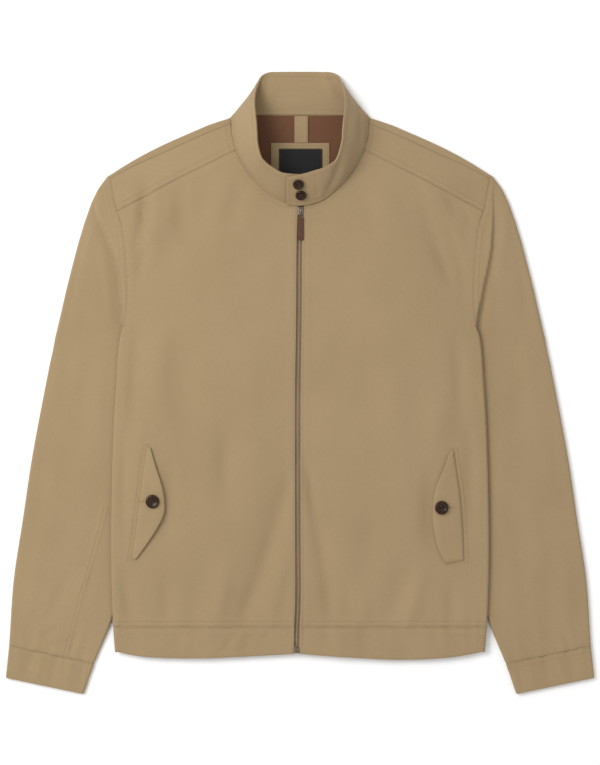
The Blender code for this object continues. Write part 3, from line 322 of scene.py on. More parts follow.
def mottle_group():
    """Colour that is never quite even: broad fading, flecks of lighter and darker fibre, and painted shade
    where the weave lies low.
    """
    group, given, result = new_group(
        "fibre mottle", (("Vector", "NodeSocketVector", None), ("Colour", "NodeSocketColor", None),
                         ("Deep", "NodeSocketColor", None), ("Worn", "NodeSocketColor", None),
                         ("Shade", "NodeSocketFloat", 0.5)),
        (("Colour", "NodeSocketColor"), ("Amount", "NodeSocketFloat")))
    broad = node(group, "ShaderNodeTexNoise", input_Vector=given.outputs["Vector"], input_Scale=9.0,
                 input_Detail=3.0, input_Roughness=0.55)
    drawn = node(group, "ShaderNodeMapping", input_Vector=given.outputs["Vector"],
                 input_Scale=(1700.0, 260.0, 900.0))
    fleck = node(group, "ShaderNodeTexNoise", input_Vector=drawn, input_Scale=1.0,
                 input_Detail=3.0, input_Roughness=0.6)
    spread = node(group, "ShaderNodeMapRange", input_Value=broad.outputs["Fac"], input_1=0.35,
                  input_2=0.68, input_3=0.0, input_4=1.0)
    faded = node(group, "ShaderNodeMix", data_type="RGBA", input_0=spread,
                 input_6=given.outputs["Colour"], input_7=given.outputs["Worn"])
    dark = node(group, "ShaderNodeMapRange", input_Value=fleck.outputs["Fac"], input_1=0.42, input_2=0.72,
                input_3=0.0, input_4=0.3)
    flecked = node(group, "ShaderNodeMix", data_type="RGBA", input_0=dark,
                   input_6=faded.outputs[2], input_7=given.outputs["Deep"])
    # painted shade: where the weave lies low its colour is darkened towards the deep tone, uneven with the
    # slubs
    thread = node(group, "ShaderNodeMapRange", input_Value=given.outputs["Shade"], input_1=0.0,
                  input_2=0.9, input_3=0.22, input_4=0.0)
    woven = node(group, "ShaderNodeMix", data_type="RGBA", input_0=thread,
                 input_6=flecked.outputs[2], input_7=given.outputs["Deep"])
    group.links.new(woven.outputs[2], result.inputs["Colour"])
    group.links.new(fleck.outputs["Fac"], result.inputs["Amount"])
    return group


twill_weave, fibre_mottle = weave_group(), mottle_group()


def new_material(name):
    """A plain material, its node tree and its shader."""
    finish = bpy.data.materials.new(name)
    finish.use_nodes = True
    return finish, finish.node_tree, finish.node_tree.nodes["Principled BSDF"]


def woven_material(name, colour, deep, worn, pitch, roughness, sheen, weave_depth, painted_seam_shade):
    """A woven cloth: its threads and flecks follow the cloth, and painted shade darkens its seams."""
    finish, tree, shader = new_material(name)
    threads = node(tree, "ShaderNodeUVMap", uv_map="cloth")
    place = node(tree, "ShaderNodeTexCoord")
    weave = node(tree, "ShaderNodeGroup", node_tree=twill_weave, input_Vector=threads,
                 input_Pitch=pitch)
    mottle = node(tree, "ShaderNodeGroup", node_tree=fibre_mottle, input_Vector=place.outputs["Object"],
                  input_Colour=(*colour, 1), input_Deep=(*deep, 1), input_Worn=(*worn, 1),
                  input_Shade=weave.outputs["Shade"])
    # painted shade: the seam attribute darkens the colour towards the deep tone along seams and stitch
    # grooves
    seam = node(tree, "ShaderNodeAttribute", attribute_name="seam")
    shade = node(tree, "ShaderNodeMath", operation="MULTIPLY", input_0=seam.outputs["Fac"],
                 input_1=painted_seam_shade)
    sewn = node(tree, "ShaderNodeMix", data_type="RGBA", input_0=shade,
                input_6=mottle.outputs["Colour"], input_7=(*deep, 1))
    tree.links.new(sewn.outputs[2], shader.inputs["Base Color"])
    rough = node(tree, "ShaderNodeMapRange", input_Value=mottle.outputs["Amount"], input_1=0.3,
                 input_2=0.7, input_3=roughness - 0.05, input_4=min(1.0, roughness + 0.06))
    tree.links.new(rough.outputs[0], shader.inputs["Roughness"])
    bump = node(tree, "ShaderNodeBump", input_Strength=0.5, input_Distance=weave_depth,
                input_Height=weave.outputs["Height"])
    tree.links.new(bump.outputs[0], shader.inputs["Normal"])
    shader.inputs["Sheen Weight"].default_value = sheen
    shader.inputs["Sheen Roughness"].default_value = 0.5
    shader.inputs["Specular IOR Level"].default_value = 0.25
    return finish


KHAKI, KHAKI_DEEP, KHAKI_WORN = (0.335, 0.239, 0.129), (0.238, 0.165, 0.085), (0.356, 0.255, 0.141)
khaki = woven_material("khaki_cotton", KHAKI, KHAKI_DEEP, KHAKI_WORN, pitch=0.0007, roughness=0.84,
                       sheen=0.10, weave_depth=0.00012, painted_seam_shade=0.16)


def shoulder_wrap(shares):
    """Rows of the back that turn forward over the shoulder, from the floor up to the shoulder seam."""
    edge, seam = smooth_curve(SHOULDER_EDGE, shares), smooth_curve(SHOULDER_SEAM, shares)
    inward = (seam - edge) / np.linalg.norm(seam - edge, axis=1, keepdims=True)
    top = front_height(seam[:, 0], seam[:, 1])
    rows = []
    for inset, lift in ((SHOULDER_ROUND, 0.0), (0.9, 0.16), (0.0, 0.5), (0.9, 0.86)):
        rows.append(np.column_stack([edge + inward * inset, lift * top]))
    rows.append(np.column_stack([seam, top]))
    return np.array(rows)


def side_turn(row_y, angles):
    """Points round the left side fold at one height, from its outermost line to the side seam."""
    edge, turn = read_table(SIDE_EDGE, row_y, 1), read_table(SIDE_EDGE, row_y, 2)
    middle = edge - SIDE_ROUND
    above, below = front_height(middle, row_y), back_height(middle, row_y)
    centre, radius = (above + below) / 2, (above - below) / 2
    a = np.radians(angles)
    bulge = SIDE_ROUND * (0.35 + 0.65 * smoothstep((UNDERARM_Y - row_y) / 10))
    x = middle + bulge * np.cos(a)
    z = centre + radius * np.sin(a)
    seam_x = min(edge - turn, middle - 0.8)
    under = middle + (seam_x - middle) * even(4)[1:]
    under_z = back_height(under, np.full(4, row_y))
    return np.column_stack([np.append(x, under), np.full(len(a) + 4, row_y), np.append(z, under_z)])


def side_seam(y):
    return np.array([side_turn(at, [0])[-1] for at in y])


NECK_COLUMNS, SHOULDER_COLUMNS, BACK_ROWS, ARMHOLE_ROWS = 16, 34, 62, 26
wrap = shoulder_wrap(even(SHOULDER_COLUMNS))
fine_wrap = refine(wrap, 3)
BACK_ARMHOLE = (tuple(wrap[0][-1][:2]), (244, 246), (233, 200), (226, 150), (227, 105),
                tuple(side_seam([UNDERARM_Y])[0][:2]))


def build_back():
    top = np.vstack([smooth_curve(BACK_NECK, even(NECK_COLUMNS)), wrap[0][1:, :2]])
    seam_y = UNDERARM_Y + (HEM_SEAM_Y - UNDERARM_Y) * even(BACK_ROWS)
    end = np.vstack([smooth_curve(BACK_ARMHOLE, even(ARMHOLE_ROWS)), side_seam(seam_y)[1:, :2]])
    v = np.linspace(0, 1, len(end))
    u = np.linspace(0, 1, len(top))
    hem = np.column_stack([end[-1][0] * u, np.full(len(u), HEM_SEAM_Y)])
    start = np.column_stack([np.zeros(len(v)), BACK_NECK[0][1] + (HEM_SEAM_Y - BACK_NECK[0][1]) * v])
    flat = coons(top, hem, start, end, u, v)
    # edges drawn in by half a seam gap: armhole and side, hem, neck
    flat[:, -1] = toward(flat[:, -1], flat[:, -2])
    flat[-1] = toward(flat[-1], flat[-2])
    flat[0, :NECK_COLUMNS] = toward(flat[0, :NECK_COLUMNS], flat[1, :NECK_COLUMNS])
    body = np.dstack([flat, back_height(flat[..., 0], flat[..., 1])])
    over = np.full((len(fine_wrap) - 1, len(top), 3), np.nan)
    over[:, NECK_COLUMNS:] = fine_wrap[:0:-1]
    over[:, -1] = toward(over[:, -1], over[:, -2])
    over[:, NECK_COLUMNS] = toward(over[:, NECK_COLUMNS], over[:, NECK_COLUMNS + 1])
    over[0, NECK_COLUMNS:] = toward(over[0, NECK_COLUMNS:], over[1, NECK_COLUMNS:])
    half = np.vstack([over, body])
    whole = np.concatenate([(half * (-1, 1, 1))[:, :0:-1], half], axis=1)[:, ::-1]
    return whole


back_grid = build_back()
back = cloth("back_shell", back_grid, SHELL_WALL, khaki, plan_uv(back_grid))
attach(back, "jacket")
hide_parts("back")

# ---- Inside the neck ----------------------------------------------------------------------------
# What the open collar shows: the brown lining over the back, a hanger loop and a patch of the shell's
# own cotton sewn on it, and a plain woven navy label on the patch. Each is a single flat layer that
# lies on the one below, stitched round its edge.

LINING_WALL = 1.0
LINING_TOP = SHELL_WALL + LAYER_GAP + LINING_WALL
PATCH_TOP = LINING_TOP + LAYER_GAP + LINING_WALL
LABEL_TOP = PATCH_TOP + LAYER_GAP + LINING_WALL
LINING_OUTLINE = ((352.8, 66.0), (335.0, 78.0), (318.0, 86.0), (290.0, 98.0), (250.0, 106.0),
                  (216.0, 108.0))
LINING_CREASES = (
    (-30, 330, -16, 322, -8, 319, 4, 0.7), (12, 322, 26, 320, 42, 315, 3.5, 0.7),
    (-62, 345, -50, 320, -46, 296, 7, 0.6), (60, 340, 52, 318, 50, 300, 6, 0.6),
    (-20, 344, -26, 334, -40, 326, 4, 0.5),
)
PATCH = ((-38.3, 38.9), (316.5, 262.0))
LABEL = ((-27.7, 29.0), (308.9, 275.4))
LOOP = ((-7.3, 10.6), (352.0, 316.8))
PATCH_STITCH, LOOP_STITCH, LABEL_STITCH = 3.2, 2.0, 1.2


def flat_grid(xs, ys, across, down):
    """A flat rectangle's points, rows from the top down."""
    x = xs[0] + (xs[1] - xs[0]) * even(across)
    y = ys[0] + (ys[1] - ys[0]) * even(down)
    grid = np.zeros((down + 1, across + 1, 3))
    grid[..., 0], grid[..., 1] = x[None, :], y[:, None]
    return grid


def rim_distance(grid, xs, ys):
    """Distance in from the nearest edge of a rectangle."""
    x, y = grid[..., 0], grid[..., 1]
    return np.minimum(np.minimum(x - xs[0], xs[1] - x), np.minimum(ys[0] - y, y - ys[1]))


STITCH_LENGTH, STITCH_PITCH, THREAD = 2.2, 2.9, 0.42


def row_tree(name, finish, segments, rings, lies_along):
    """Geometry Nodes: one small rounded body for each pitch along the lines, flat on the cloth. Its
    X or Y axis lies along the line."""
    tree = bpy.data.node_groups.new(name, "GeometryNodeTree")
    for socket, kind in (("Lines", "NodeSocketGeometry"), ("Pitch", "NodeSocketFloat"),
                         ("Size", "NodeSocketVector")):
        tree.interface.new_socket(socket, in_out="INPUT", socket_type=kind)
    tree.interface.new_socket("Row", in_out="OUTPUT", socket_type="NodeSocketGeometry")
    given, result = tree.nodes.new("NodeGroupInput"), tree.nodes.new("NodeGroupOutput")
    curve = node(tree, "GeometryNodeMeshToCurve", input_0=given.outputs["Lines"])
    spaced = node(tree, "GeometryNodeResampleCurve", mode="LENGTH", input_Curve=curve,
                  input_Length=given.outputs["Pitch"])
    shape = node(tree, "GeometryNodeMeshUVSphere", input_Segments=segments, input_Rings=rings,
                 input_Radius=0.5)
    sized = node(tree, "GeometryNodeTransform", input_Geometry=shape.outputs["Mesh"],
                 input_Scale=given.outputs["Size"])
    facing = node(tree, "GeometryNodeInputNamedAttribute", data_type="FLOAT_VECTOR", input_Name="facing")
    along = node(tree, "GeometryNodeInputTangent")
    turn = node(tree, "FunctionNodeAxesToRotation", primary_axis="Z", secondary_axis=lies_along,
                input_0=facing.outputs["Attribute"], input_1=along)
    placed = node(tree, "GeometryNodeInstanceOnPoints", input_Points=spaced,
                  input_Instance=sized, input_Rotation=turn)
    real = node(tree, "GeometryNodeRealizeInstances", input_0=placed)
    coloured = node(tree, "GeometryNodeSetMaterial", input_Geometry=real, input_Material=finish)
    tree.links.new(coloured.outputs[0], result.inputs[0])
    return tree


def thread_material(name, colour, deep):
    finish, tree, shader = new_material(name)
    place = node(tree, "ShaderNodeTexCoord")
    ply = node(tree, "ShaderNodeTexWave", wave_type="BANDS", bands_direction="DIAGONAL",
               input_Vector=place.outputs["Object"], input_Scale=700.0)
    fade = node(tree, "ShaderNodeTexNoise", input_Vector=place.outputs["Object"], input_Scale=60.0)
    twist = node(tree, "ShaderNodeMath", operation="MULTIPLY", input_0=ply.outputs["Fac"],
                 input_1=fade.outputs["Fac"])
    tone = node(tree, "ShaderNodeMix", data_type="RGBA", input_0=twist,
                input_6=(*deep, 1), input_7=(*colour, 1))
    tree.links.new(tone.outputs[2], shader.inputs["Base Color"])
    rough = node(tree, "ShaderNodeMapRange", input_Value=fade.outputs["Fac"], input_3=0.5, input_4=0.7)
    tree.links.new(rough.outputs[0], shader.inputs["Roughness"])
    return finish


def stitch_tree(name, colour, deep):
    """Rows of stitches in a thread of their own colour."""
    return row_tree(name + "_stitches", thread_material(name, colour, deep), 6, 4, "X")


khaki_stitches = stitch_tree("khaki_thread", (0.36, 0.255, 0.14), (0.26, 0.178, 0.092))


def set_input(modifier, tree, name, value):
    """Sets one of a Geometry Nodes modifier's inputs by its socket's identifier."""
    for socket in tree.interface.items_tree:
        if socket.item_type == "SOCKET" and socket.in_out == "INPUT" and socket.name == name:
            modifier[socket.identifier] = value


def laid_rows(name, lines, tree, pitch, size):
    """Rows of small bodies as one mesh. Each line is its points and the way the cloth faces there."""
    points, facing, edges = [], [], []
    for line, normals in lines:
        first = len(points)
        points += (line * MM).tolist()
        facing += normals.tolist()
        edges += [(first + i, first + i + 1) for i in range(len(line) - 1)]
    mesh = bpy.data.meshes.new(name)
    mesh.from_pydata(points, edges, [])
    way = mesh.attributes.new("facing", "FLOAT_VECTOR", "POINT")
    way.data.foreach_set("vector", np.array(facing, np.float32).ravel())
    draft = placed_object(name + "_lines", mesh)
    rows = draft.modifiers.new("row", "NODES")
    rows.node_group = tree
    set_input(rows, tree, "Pitch", pitch * MM)
    set_input(rows, tree, "Size", tuple(length * MM for length in size))
    row = made_plain(draft, name)
    row.data.shade_smooth()
    return row


def sew(name, lines, body="jacket", thread=THREAD, tree=khaki_stitches):
    """Rows of stitches, none of them below the floor."""
    above = [(np.maximum(line, (-np.inf, -np.inf, thread / 2)), normals) for line, normals in lines]
    sewn = laid_rows(name, above, tree, STITCH_PITCH, (STITCH_LENGTH, thread, thread))
    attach(sewn, body)


def upward(points):
    """A line on cloth that faces up."""
    return points, np.tile((0.0, 0.0, 1.0), (len(points), 1))


def inset_line(grid, edge, distance, first=0, last=None, lift=0.05):
    """A line on a grid's surface at a distance in from one of its edges, with the normals there.
    first and last say which stretch of the edge it follows."""
    normals = outward_normals(grid)
    if edge in ("start", "end"):
        grid, normals = grid.transpose(1, 0, 2), normals.transpose(1, 0, 2)
    if edge in ("bottom", "end"):
        grid, normals = grid[::-1], normals[::-1]
    points, facing = [], []
    for c in range(grid.shape[1])[first:last]:
        column = grid[:, c]
        keep = ~np.isnan(column[:, 0])
        column, face = column[keep], normals[:, c][keep]
        reach = reach_along(column)
        point = np.array([np.interp(distance, reach, axis) for axis in column.T])
        way = face[min(len(face) - 1, int(np.searchsorted(reach, distance)))]
        if np.isnan(way).any():
            way = np.array([0.0, 0.0, 1.0])
        points.append(point + way * lift)
        facing.append(way)
    return np.array(points), np.array(facing)


BROWN, BROWN_DEEP, BROWN_WORN = (0.132, 0.054, 0.022), (0.085, 0.033, 0.013), (0.150, 0.062, 0.026)
brown = woven_material("brown_lining", BROWN, BROWN_DEEP, BROWN_WORN, 0.0004, 0.6, 0.05, 0.00005, 0.2)
NAVY, NAVY_DEEP, NAVY_WORN = (0.009, 0.009, 0.010), (0.005, 0.005, 0.006), (0.013, 0.013, 0.014)
navy = woven_material("navy_label", NAVY, NAVY_DEEP, NAVY_WORN, 0.0005, 0.7, 0.02, 0.00008, 0.0)

lining_half = np.array(LINING_OUTLINE)
lining_grid = np.zeros((61, 49, 3))
lining_y = lining_half[0, 0] + (lining_half[-1, 0] - lining_half[0, 0]) * even(60)
lining_x = np.interp(-lining_y, -lining_half[:, 0], lining_half[:, 1])
lining_grid[..., 0] = lining_x[:, None] * (2 * even(48)[None] - 1)
lining_grid[..., 1] = lining_y[:, None]
x, y = lining_grid[..., 0], lining_grid[..., 1]
# pressed nearly flat below the patch
below_patch = smoothstep((46 - np.abs(x)) / 6) * smoothstep((319 - y) / 4)
lining_grid[..., 2] = LINING_TOP + fold_height(x, y, LINING_CREASES) * (1 - 0.9 * below_patch)
back_lining = cloth("back_lining_cloth", lining_grid, LINING_WALL, brown, plan_uv(lining_grid))
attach(back_lining, "jacket")
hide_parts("back_lining")

patch_grid = flat_grid(*PATCH, 40, 28)
patch_rim = rim_distance(patch_grid, *PATCH)
patch_grid[..., 2] = (PATCH_TOP - 0.25 * beside(patch_rim, 1.0)
                      - 0.15 * beside(patch_rim - PATCH_STITCH, 0.9))
loop_grid = flat_grid(*LOOP, 10, 20)
loop_rim = np.minimum(loop_grid[..., 0] - LOOP[0][0], LOOP[0][1] - loop_grid[..., 0])
loop_grid[..., 2] = PATCH_TOP + 0.4 * np.sin(math.pi * even(20))[:, None] - 0.2 * beside(loop_rim, 1.0)
label_grid = flat_grid(*LABEL, 30, 20)
label_grid[..., 2] = LABEL_TOP + 0.15 * np.sin(label_grid[..., 0] / 9) * np.cos(label_grid[..., 1] / 11)
for piece_name, grid, finish, slot, rim in (
        ("neck_patch", patch_grid, khaki, "khaki_cotton", patch_rim),
        ("hanger_loop", loop_grid, khaki, "khaki_cotton", loop_rim),
        ("neck_label", label_grid, navy, "navy_label", rim_distance(label_grid, *LABEL))):
    # painted shade round each layer's stitched rim, where it lies on the one below; the navy label's
    # material takes none
    shade = beside(rim, 0.8)
    layer = cloth(piece_name + "_cloth", grid, LINING_WALL, finish, plan_uv(grid), shade)
    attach(layer, "jacket")
    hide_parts(piece_name)
inner_lines = [inset_line(patch_grid, edge, PATCH_STITCH, 2, -2, 0.1) for edge in ("top", "start", "end")]
inner_lines += [inset_line(loop_grid, edge, LOOP_STITCH, lift=0.1) for edge in ("start", "end")]
sew("neck_stitching", inner_lines)
label_lines = [inset_line(label_grid, edge, LABEL_STITCH, 1, -1)
               for edge in ("top", "start", "end", "bottom")]
sew("label_stitching", label_lines, thread=0.3)

# ---- Fronts and front hem bands -----------------------------------------------------------------
# Each front is one piece from the neckline and the yoke seam down to the waist, turned under at the
# side fold to the side seam. Its edge beside the zip is folded in and topstitched. The hem band below
# is doubled cotton, joined with one row of stitches below the seam and two above it.

NECK_FRONT = ((0, 235), (18.5, 237.2), (37, 245.2), (55.4, 261), (72.6, 283.6), (84.5, 306.2))
YOKE_SEAM = ((84.5, 306.2), (132, 282.5), (165, 266), (200.6, 247), (240.9, 226))
HEM_EDGE = {RIGHT: ((0, -355.7), (52.8, -359), (132, -362.3), (204.6, -360.4), (240, -354)),
            LEFT: ((0, -356.4), (52.8, -360.4), (132, -364.3), (198, -361), (240, -354))}
HEM_WALL = 1.6
# the zip's middle line: y, x
ZIP_LINE = ((240, 1.2), (226, 0.9), (205, 0.1), (180, -0.6), (125, -1.0), (88, -1.2), (51, -1.7),
            (14, -2.3), (-77, -2.7), (-206, -2.5), (-280, -2.4), (-298, -2.8), (-316, -3.7), (-356, -4.7))
ZIP_OPENING = 7.6                       # between the two front edges
NECK_TOP_Y = NECK_FRONT[0][1] + 0.4
# distances in from a sewn edge at which the cloth's points lie close together
EDGE_STEPS = np.array((0, 0.6, 1.3, 2.1, 3.0, 4.2, 5.5, 7.0, 8.4, 9.8, 12.0, 15.5))
ZIP_STITCH = {RIGHT: (2.2,), LEFT: (2.7,)}
YOKE_STITCH, ARMHOLE_STITCH, NECK_STITCH = (1.6, 7.6), (1.6, 7.6), (6.4,)
SEAM_STITCH = (1.8, 7.4)
# the creases and the softer hollows between the largest folds, as the photograph has them
FINE_FOLDS = (
    (-204, 258, -206, 225, -209, 196, 4.5, -2.7), (-198, 182, -206, 162, -214, 143, 6, -2.97),
    (-187, 255, -189, 225, -191, 195, 6, 1.62), (-172, 242, -176, 215, -180, 195, 10, 2.83),
    (-160, 255, -150, 215, -150, 180, 12, -2.83), (-217, 240, -216, 215, -220, 196, 5, 1.35),
    (-120, 262, -132, 228, -136, 190, 13, -2.43), (-70, 268, -84, 240, -92, 205, 12, -2.03),
    (193, 247, 200, 236, 207, 224, 5, -2.43), (206, 239, 218, 224, 228, 209, 6, -2.43),
    (180, 250, 196, 214, 208, 186, 6, 2.16), (165, 262, 178, 228, 190, 200, 7, 1.89),
    (205, 215, 214, 180, 219, 150, 6, 2.16), (128, 262, 140, 228, 150, 196, 12, -2.43),
    (181, 176, 190, 155, 197, 132, 6, -2.7), (78, 262, 92, 232, 98, 196, 12, -2.03),
    (-13, -115, -24, -160, -33, -194, 10, -3.24), (-33, -194, -43, -222, -50, -247, 9, -3.65),
    (-50, -247, -64, -280, -77, -316, 10, -4.05), (-235, -250, -229, -285, -222, -314, 9, -3.65),
    (7, -102, 16, -148, 24, -194, 8, -3.65), (24, -194, 29, -220, 32, -247, 8, -3.65),
    (32, -247, 36, -276, 40, -306, 8, -3.24), (-98, -75, -100, -105, -98, -154, 9, -2.03),
    (-180, 60, -186, 20, -184, -30, 16, 2.83), (120, 30, 126, -30, 122, -90, 22, 2.43),
    (-60, 60, -66, -20, -60, -90, 22, 2.03), (60, 140, 66, 90, 60, 30, 24, -2.03),
    (205, 60, 212, 10, 210, -50, 10, -3.24), (-214, 60, -220, 10, -222, -60, 9, -2.83),
    (222, -60, 226, -130, 224, -200, 9, -3.65), (-232, -70, -234, -140, -233, -210, 8, -2.83),
    (90, -150, 96, -200, 90, -250, 16, -2.43), (160, -245, 152, -285, 140, -318, 9, 2.83),
    (-95, -250, -104, -285, -112, -318, 10, 2.83), (-20, -230, -30, -275, -40, -318, 8, 2.03),
    (-178, -250, -172, -290, -176, -318, 10, -2.43), (196, -262, 202, -292, 198, -318, 8, -2.83),
    (62, -270, 66, -295, 60, -318, 7, -1.62), (84, -280, 86, -300, 82, -318, 6, 1.35),
    # the cloth pulled together at each pocket's upper corner
    (-200, -81, -190, -72, -180, -66, 3, -1.35), (-200, -80, -197, -68, -199, -58, 2.6, -1.22),
    (-202, -81, -212, -76, -220, -76, 2.6, -1.08), (-195, -86, -184, -92, -175, -92, 3, -1.08),
    (201, -84, 194, -74, 184, -68, 3, -1.08), (203, -84, 208, -72, 208, -60, 2.6, -0.94),
    # slanted wrinkles over the hem seam and the band
    (-100, -329, -110, -340, -123, -353, 3, -1.3), (-94, -325, -104, -338, -116, -352, 3, 1.1),
    (-79, -320, -88, -338, -102, -355, 3.2, -1.5), (-71, -322, -80, -336, -92, -352, 3, 1.2),
    (-55, -328, -64, -340, -76, -353, 3, -1.3), (-48, -324, -56, -336, -66, -350, 3, 1.1),
    (-38, -322, -46, -334, -56, -346, 3, -1.2), (-150, -322, -158, -336, -170, -350, 4, -0.9),
    (30, -322, 38, -336, 44, -352, 3.2, -1.2), (44, -326, 54, -338, 66, -350, 3, 1.1),
    (70, -322, 80, -336, 94, -352, 3.2, -1.4), (96, -326, 104, -338, 116, -350, 3, 1.1),
    (120, -322, 132, -338, 148, -354, 3.4, -1.3), (160, -324, 168, -338, 180, -352, 3.4, 1),
    (192, -322, 202, -338, 214, -350, 3.4, -1.2),
    # hollow behind each lifted flap
    (-176, -110, -168, -150, -178, -200, 9, -3.24), (172, -120, 164, -165, 172, -215, 9, -3.24),
)


def curve_length(points):
    return reach_along(smooth_curve(points, even(60)))[-1]


def chain(lines, shares):
    """Points at shares of the length of lines that follow each other. The nearest share moves to each
    corner; returns the points, the shares and the number of the points at the corners."""
    lengths = np.array([curve_length(line) for line in lines])
    corners = np.cumsum(lengths)[:-1] / lengths.sum()
    shares, places = shares.copy(), []
    for corner in corners:
        places.append(int(np.abs(shares - corner).argmin()))
        shares[places[-1]] = corner
    bounds = np.concatenate([[0], corners, [1]])
    points = np.zeros((len(shares), 2))
    for line, low, high in zip(lines, bounds, bounds[1:]):
        inside = (shares >= low) & (shares <= high)
        points[inside] = smooth_curve(line, (shares[inside] - low) / (high - low))
    return points, shares, places


def edged(length, spacing, both=True):
    """Shares of a length that lie close together at its ends and evenly between."""
    first = EDGE_STEPS
    rest = length - EDGE_STEPS[-1] * (2 if both else 1)
    middle = EDGE_STEPS[-1] + rest * even(max(2, int(rest / spacing)))[1:-1]
    last = length - EDGE_STEPS[::-1] if both else np.array([length])
    return np.concatenate([first, middle, last]) / length


def distance_to(line, x, y):
    """Distance of each point from a line in plan, and how far along the line it is."""
    a, b = line[:-1, :2], line[1:, :2]
    step = b - a
    length = np.linalg.norm(step, axis=1)
    before = np.concatenate([[0], np.cumsum(length)[:-1]])
    px, py = x[..., None] - a[:, 0], y[..., None] - a[:, 1]
    t = np.clip((px * step[:, 0] + py * step[:, 1]) / length ** 2, 0, 1)
    away = np.hypot(px - t * step[:, 0], py - t * step[:, 1])
    nearest = away.argmin(-1)[..., None]
    along = np.take_along_axis(before + t * length, nearest, -1)[..., 0]
    return np.take_along_axis(away, nearest, -1)[..., 0], along


# how far the folded allowance inside a seam lifts the cloth, how wide it is and where it fades out
ALLOWANCE_LIFT, ALLOWANCE_WIDTH, ALLOWANCE_FADE = 0.3, 8.5, 4.0
ROLL_WIDTH, GROOVE_DEPTH, GROOVE_WIDTH, PUCKER_START, PUCKER_REACH = 0.9, 0.2, 0.8, 1.5, 10.0


def sewn_relief(distance, along, rows, roll=0.35, pucker=0.2):
    """Relief beside a sewn edge: it rolls down into the seam, the allowance inside lifts it, the
    stitches pull a groove and the cloth puckers away from them."""
    lifted = ALLOWANCE_LIFT * (1 - smoothstep((distance - ALLOWANCE_WIDTH) / ALLOWANCE_FADE))
    height = lifted - roll * beside(distance, ROLL_WIDTH)
    for row in rows:
        height -= GROOVE_DEPTH * beside(distance - row, GROOVE_WIDTH)
    wave = (0.5 * np.sin(along / 2.3 + 1.3) + 0.4 * np.sin(along / 1.31 + 0.4)
            + 0.6 * np.sin(along / 4.7 + 2.2) * np.sin(along / 17.0))
    near = np.exp(-distance / PUCKER_REACH) * (1 - beside(distance, PUCKER_START))
    return height + pucker * wave * near


# painted shade along seams: this mask darkens the cloth's colour at its sewn edges and stitch grooves
def seam_shade_mask(distance, rows):
    """1 on a seam's edge and on its rows of stitches, fading away from them."""
    shade_mask = beside(distance, 1.1)
    for row in rows:
        shade_mask = np.maximum(shade_mask, 0.55 * beside(distance - row, GROOVE_WIDTH))
    return shade_mask


def drape_ripple(x, y):
    """The low, uneven swell of a cloth that is not quite flat."""
    return (0.45 * np.sin(x / 31 + 0.6 * np.sin(y / 57)) * np.sin(y / 63 + 1.1)
            + 0.36 * np.sin(x / 17 + y / 71 + 2.0) * np.sin(y / 39 - x / 90)
            + 0.26 * np.sin(x / 9.5 - y / 44 + 0.7) * np.sin(y / 26 + x / 51))


def front_skin(x, y):
    """Height of the front with its creases and swell, but without its seams."""
    inward = smoothstep((side_x(y) - np.abs(x)) / 30 + 0.2)
    return front_height(x, y) + (fold_height(x, y, FINE_FOLDS) + drape_ripple(x, y)) * inward


def zip_x(y):
    return read_table(ZIP_LINE, y, 1)


def zip_edge(y, side):
    """Plan points of a front edge beside the zip, written as if for the wearer's left."""
    y = np.asarray(y, float)
    return np.stack([side * (zip_x(y) + side * ZIP_OPENING / 2), y], axis=-1)


def turned(values, side):
    """A grid's columns in the order that keeps its outer face outward on the given side."""
    return values if side == LEFT else values[:, ::-1]


def sided(grid, side):
    """A grid written for the wearer's left, put on either side with its outer face still outward."""
    return turned(grid * (side, 1, 1), side)


FOLD_ANGLES = (70, 50, 30, 10, -10, -30, -50, -70, -90)


def front_plan(side):
    """Plan grid of one front, its corner column and its underarm row."""
    neck_start = zip_edge(NECK_TOP_Y, side)
    neck_line = (tuple(neck_start),) + NECK_FRONT[1:]
    top, u, (yoke_corner,) = chain((neck_line, YOKE_SEAM), edged(236, 5.2))
    flank_y = UNDERARM_Y + (HEM_SEAM_Y - UNDERARM_Y) * even(12)
    flank = tuple(zip(read_table(SIDE_EDGE, flank_y, 1) - SIDE_ROUND, flank_y))
    end, v, (underarm,) = chain((ARMHOLE_FRONT, flank), edged(548, 5.6))
    start = zip_edge(neck_start[1] + (HEM_SEAM_Y - neck_start[1]) * v, side)
    bottom = start[-1] * (1 - u[:, None]) + end[-1] * u[:, None]
    return coons(top, bottom, start, end, u, v), yoke_corner, underarm


def turned_under(grid, first, side_rows_y):
    """Adds the side fold's points to the end of each row from the given one on."""
    turn = np.full((len(grid), len(FOLD_ANGLES) + 4, 3), np.nan)
    for r in range(first, len(grid)):
        turn[r] = side_turn(side_rows_y[r], FOLD_ANGLES)
    return np.concatenate([grid, turn], axis=1)


def front_relief(flat, side, corner):
    """Seam relief of a front's flat part, and the mask of its painted seam shade."""
    x, y = flat[..., 0], flat[..., 1]
    edges = ((flat[0, :corner + 1], NECK_STITCH, 0.3, 0.16), (flat[0, corner:], (), 0.3, 0.3),
             (smooth_curve(ARMHOLE_FRONT, even(40)), (), 0.12, 0.4), (flat[-1], SEAM_STITCH, 0.12, 0.9),
             (flat[:, 0], ZIP_STITCH[side], 0.35, 0.16))
    height, shade_mask = np.zeros(x.shape), np.zeros(x.shape)
    for line, rows, roll, pucker in edges:
        distance, along = distance_to(line, x, y)
        height += sewn_relief(distance, along, rows, roll, pucker)
        shade_mask = np.maximum(shade_mask, seam_shade_mask(distance, rows))
    return height, shade_mask


def hem_band_plan(seam, side):
    """Plan grid of a front hem band below its seam."""
    edge = smooth_curve(HEM_EDGE[side], even(120))
    low_y = np.interp(seam[:, 0], edge[:, 0], edge[:, 1])
    low = np.column_stack([seam[:, 0], low_y])
    low[0] = zip_edge(low_y[0], side)
    hem_y = HEM_EDGE[side][-1][1]
    low[-1] = (read_table(SIDE_EDGE, hem_y, 1) - SIDE_ROUND, hem_y)
    v = edged(40, 3.5)[:, None, None]
    return seam[None] * (1 - v) + low[None] * v


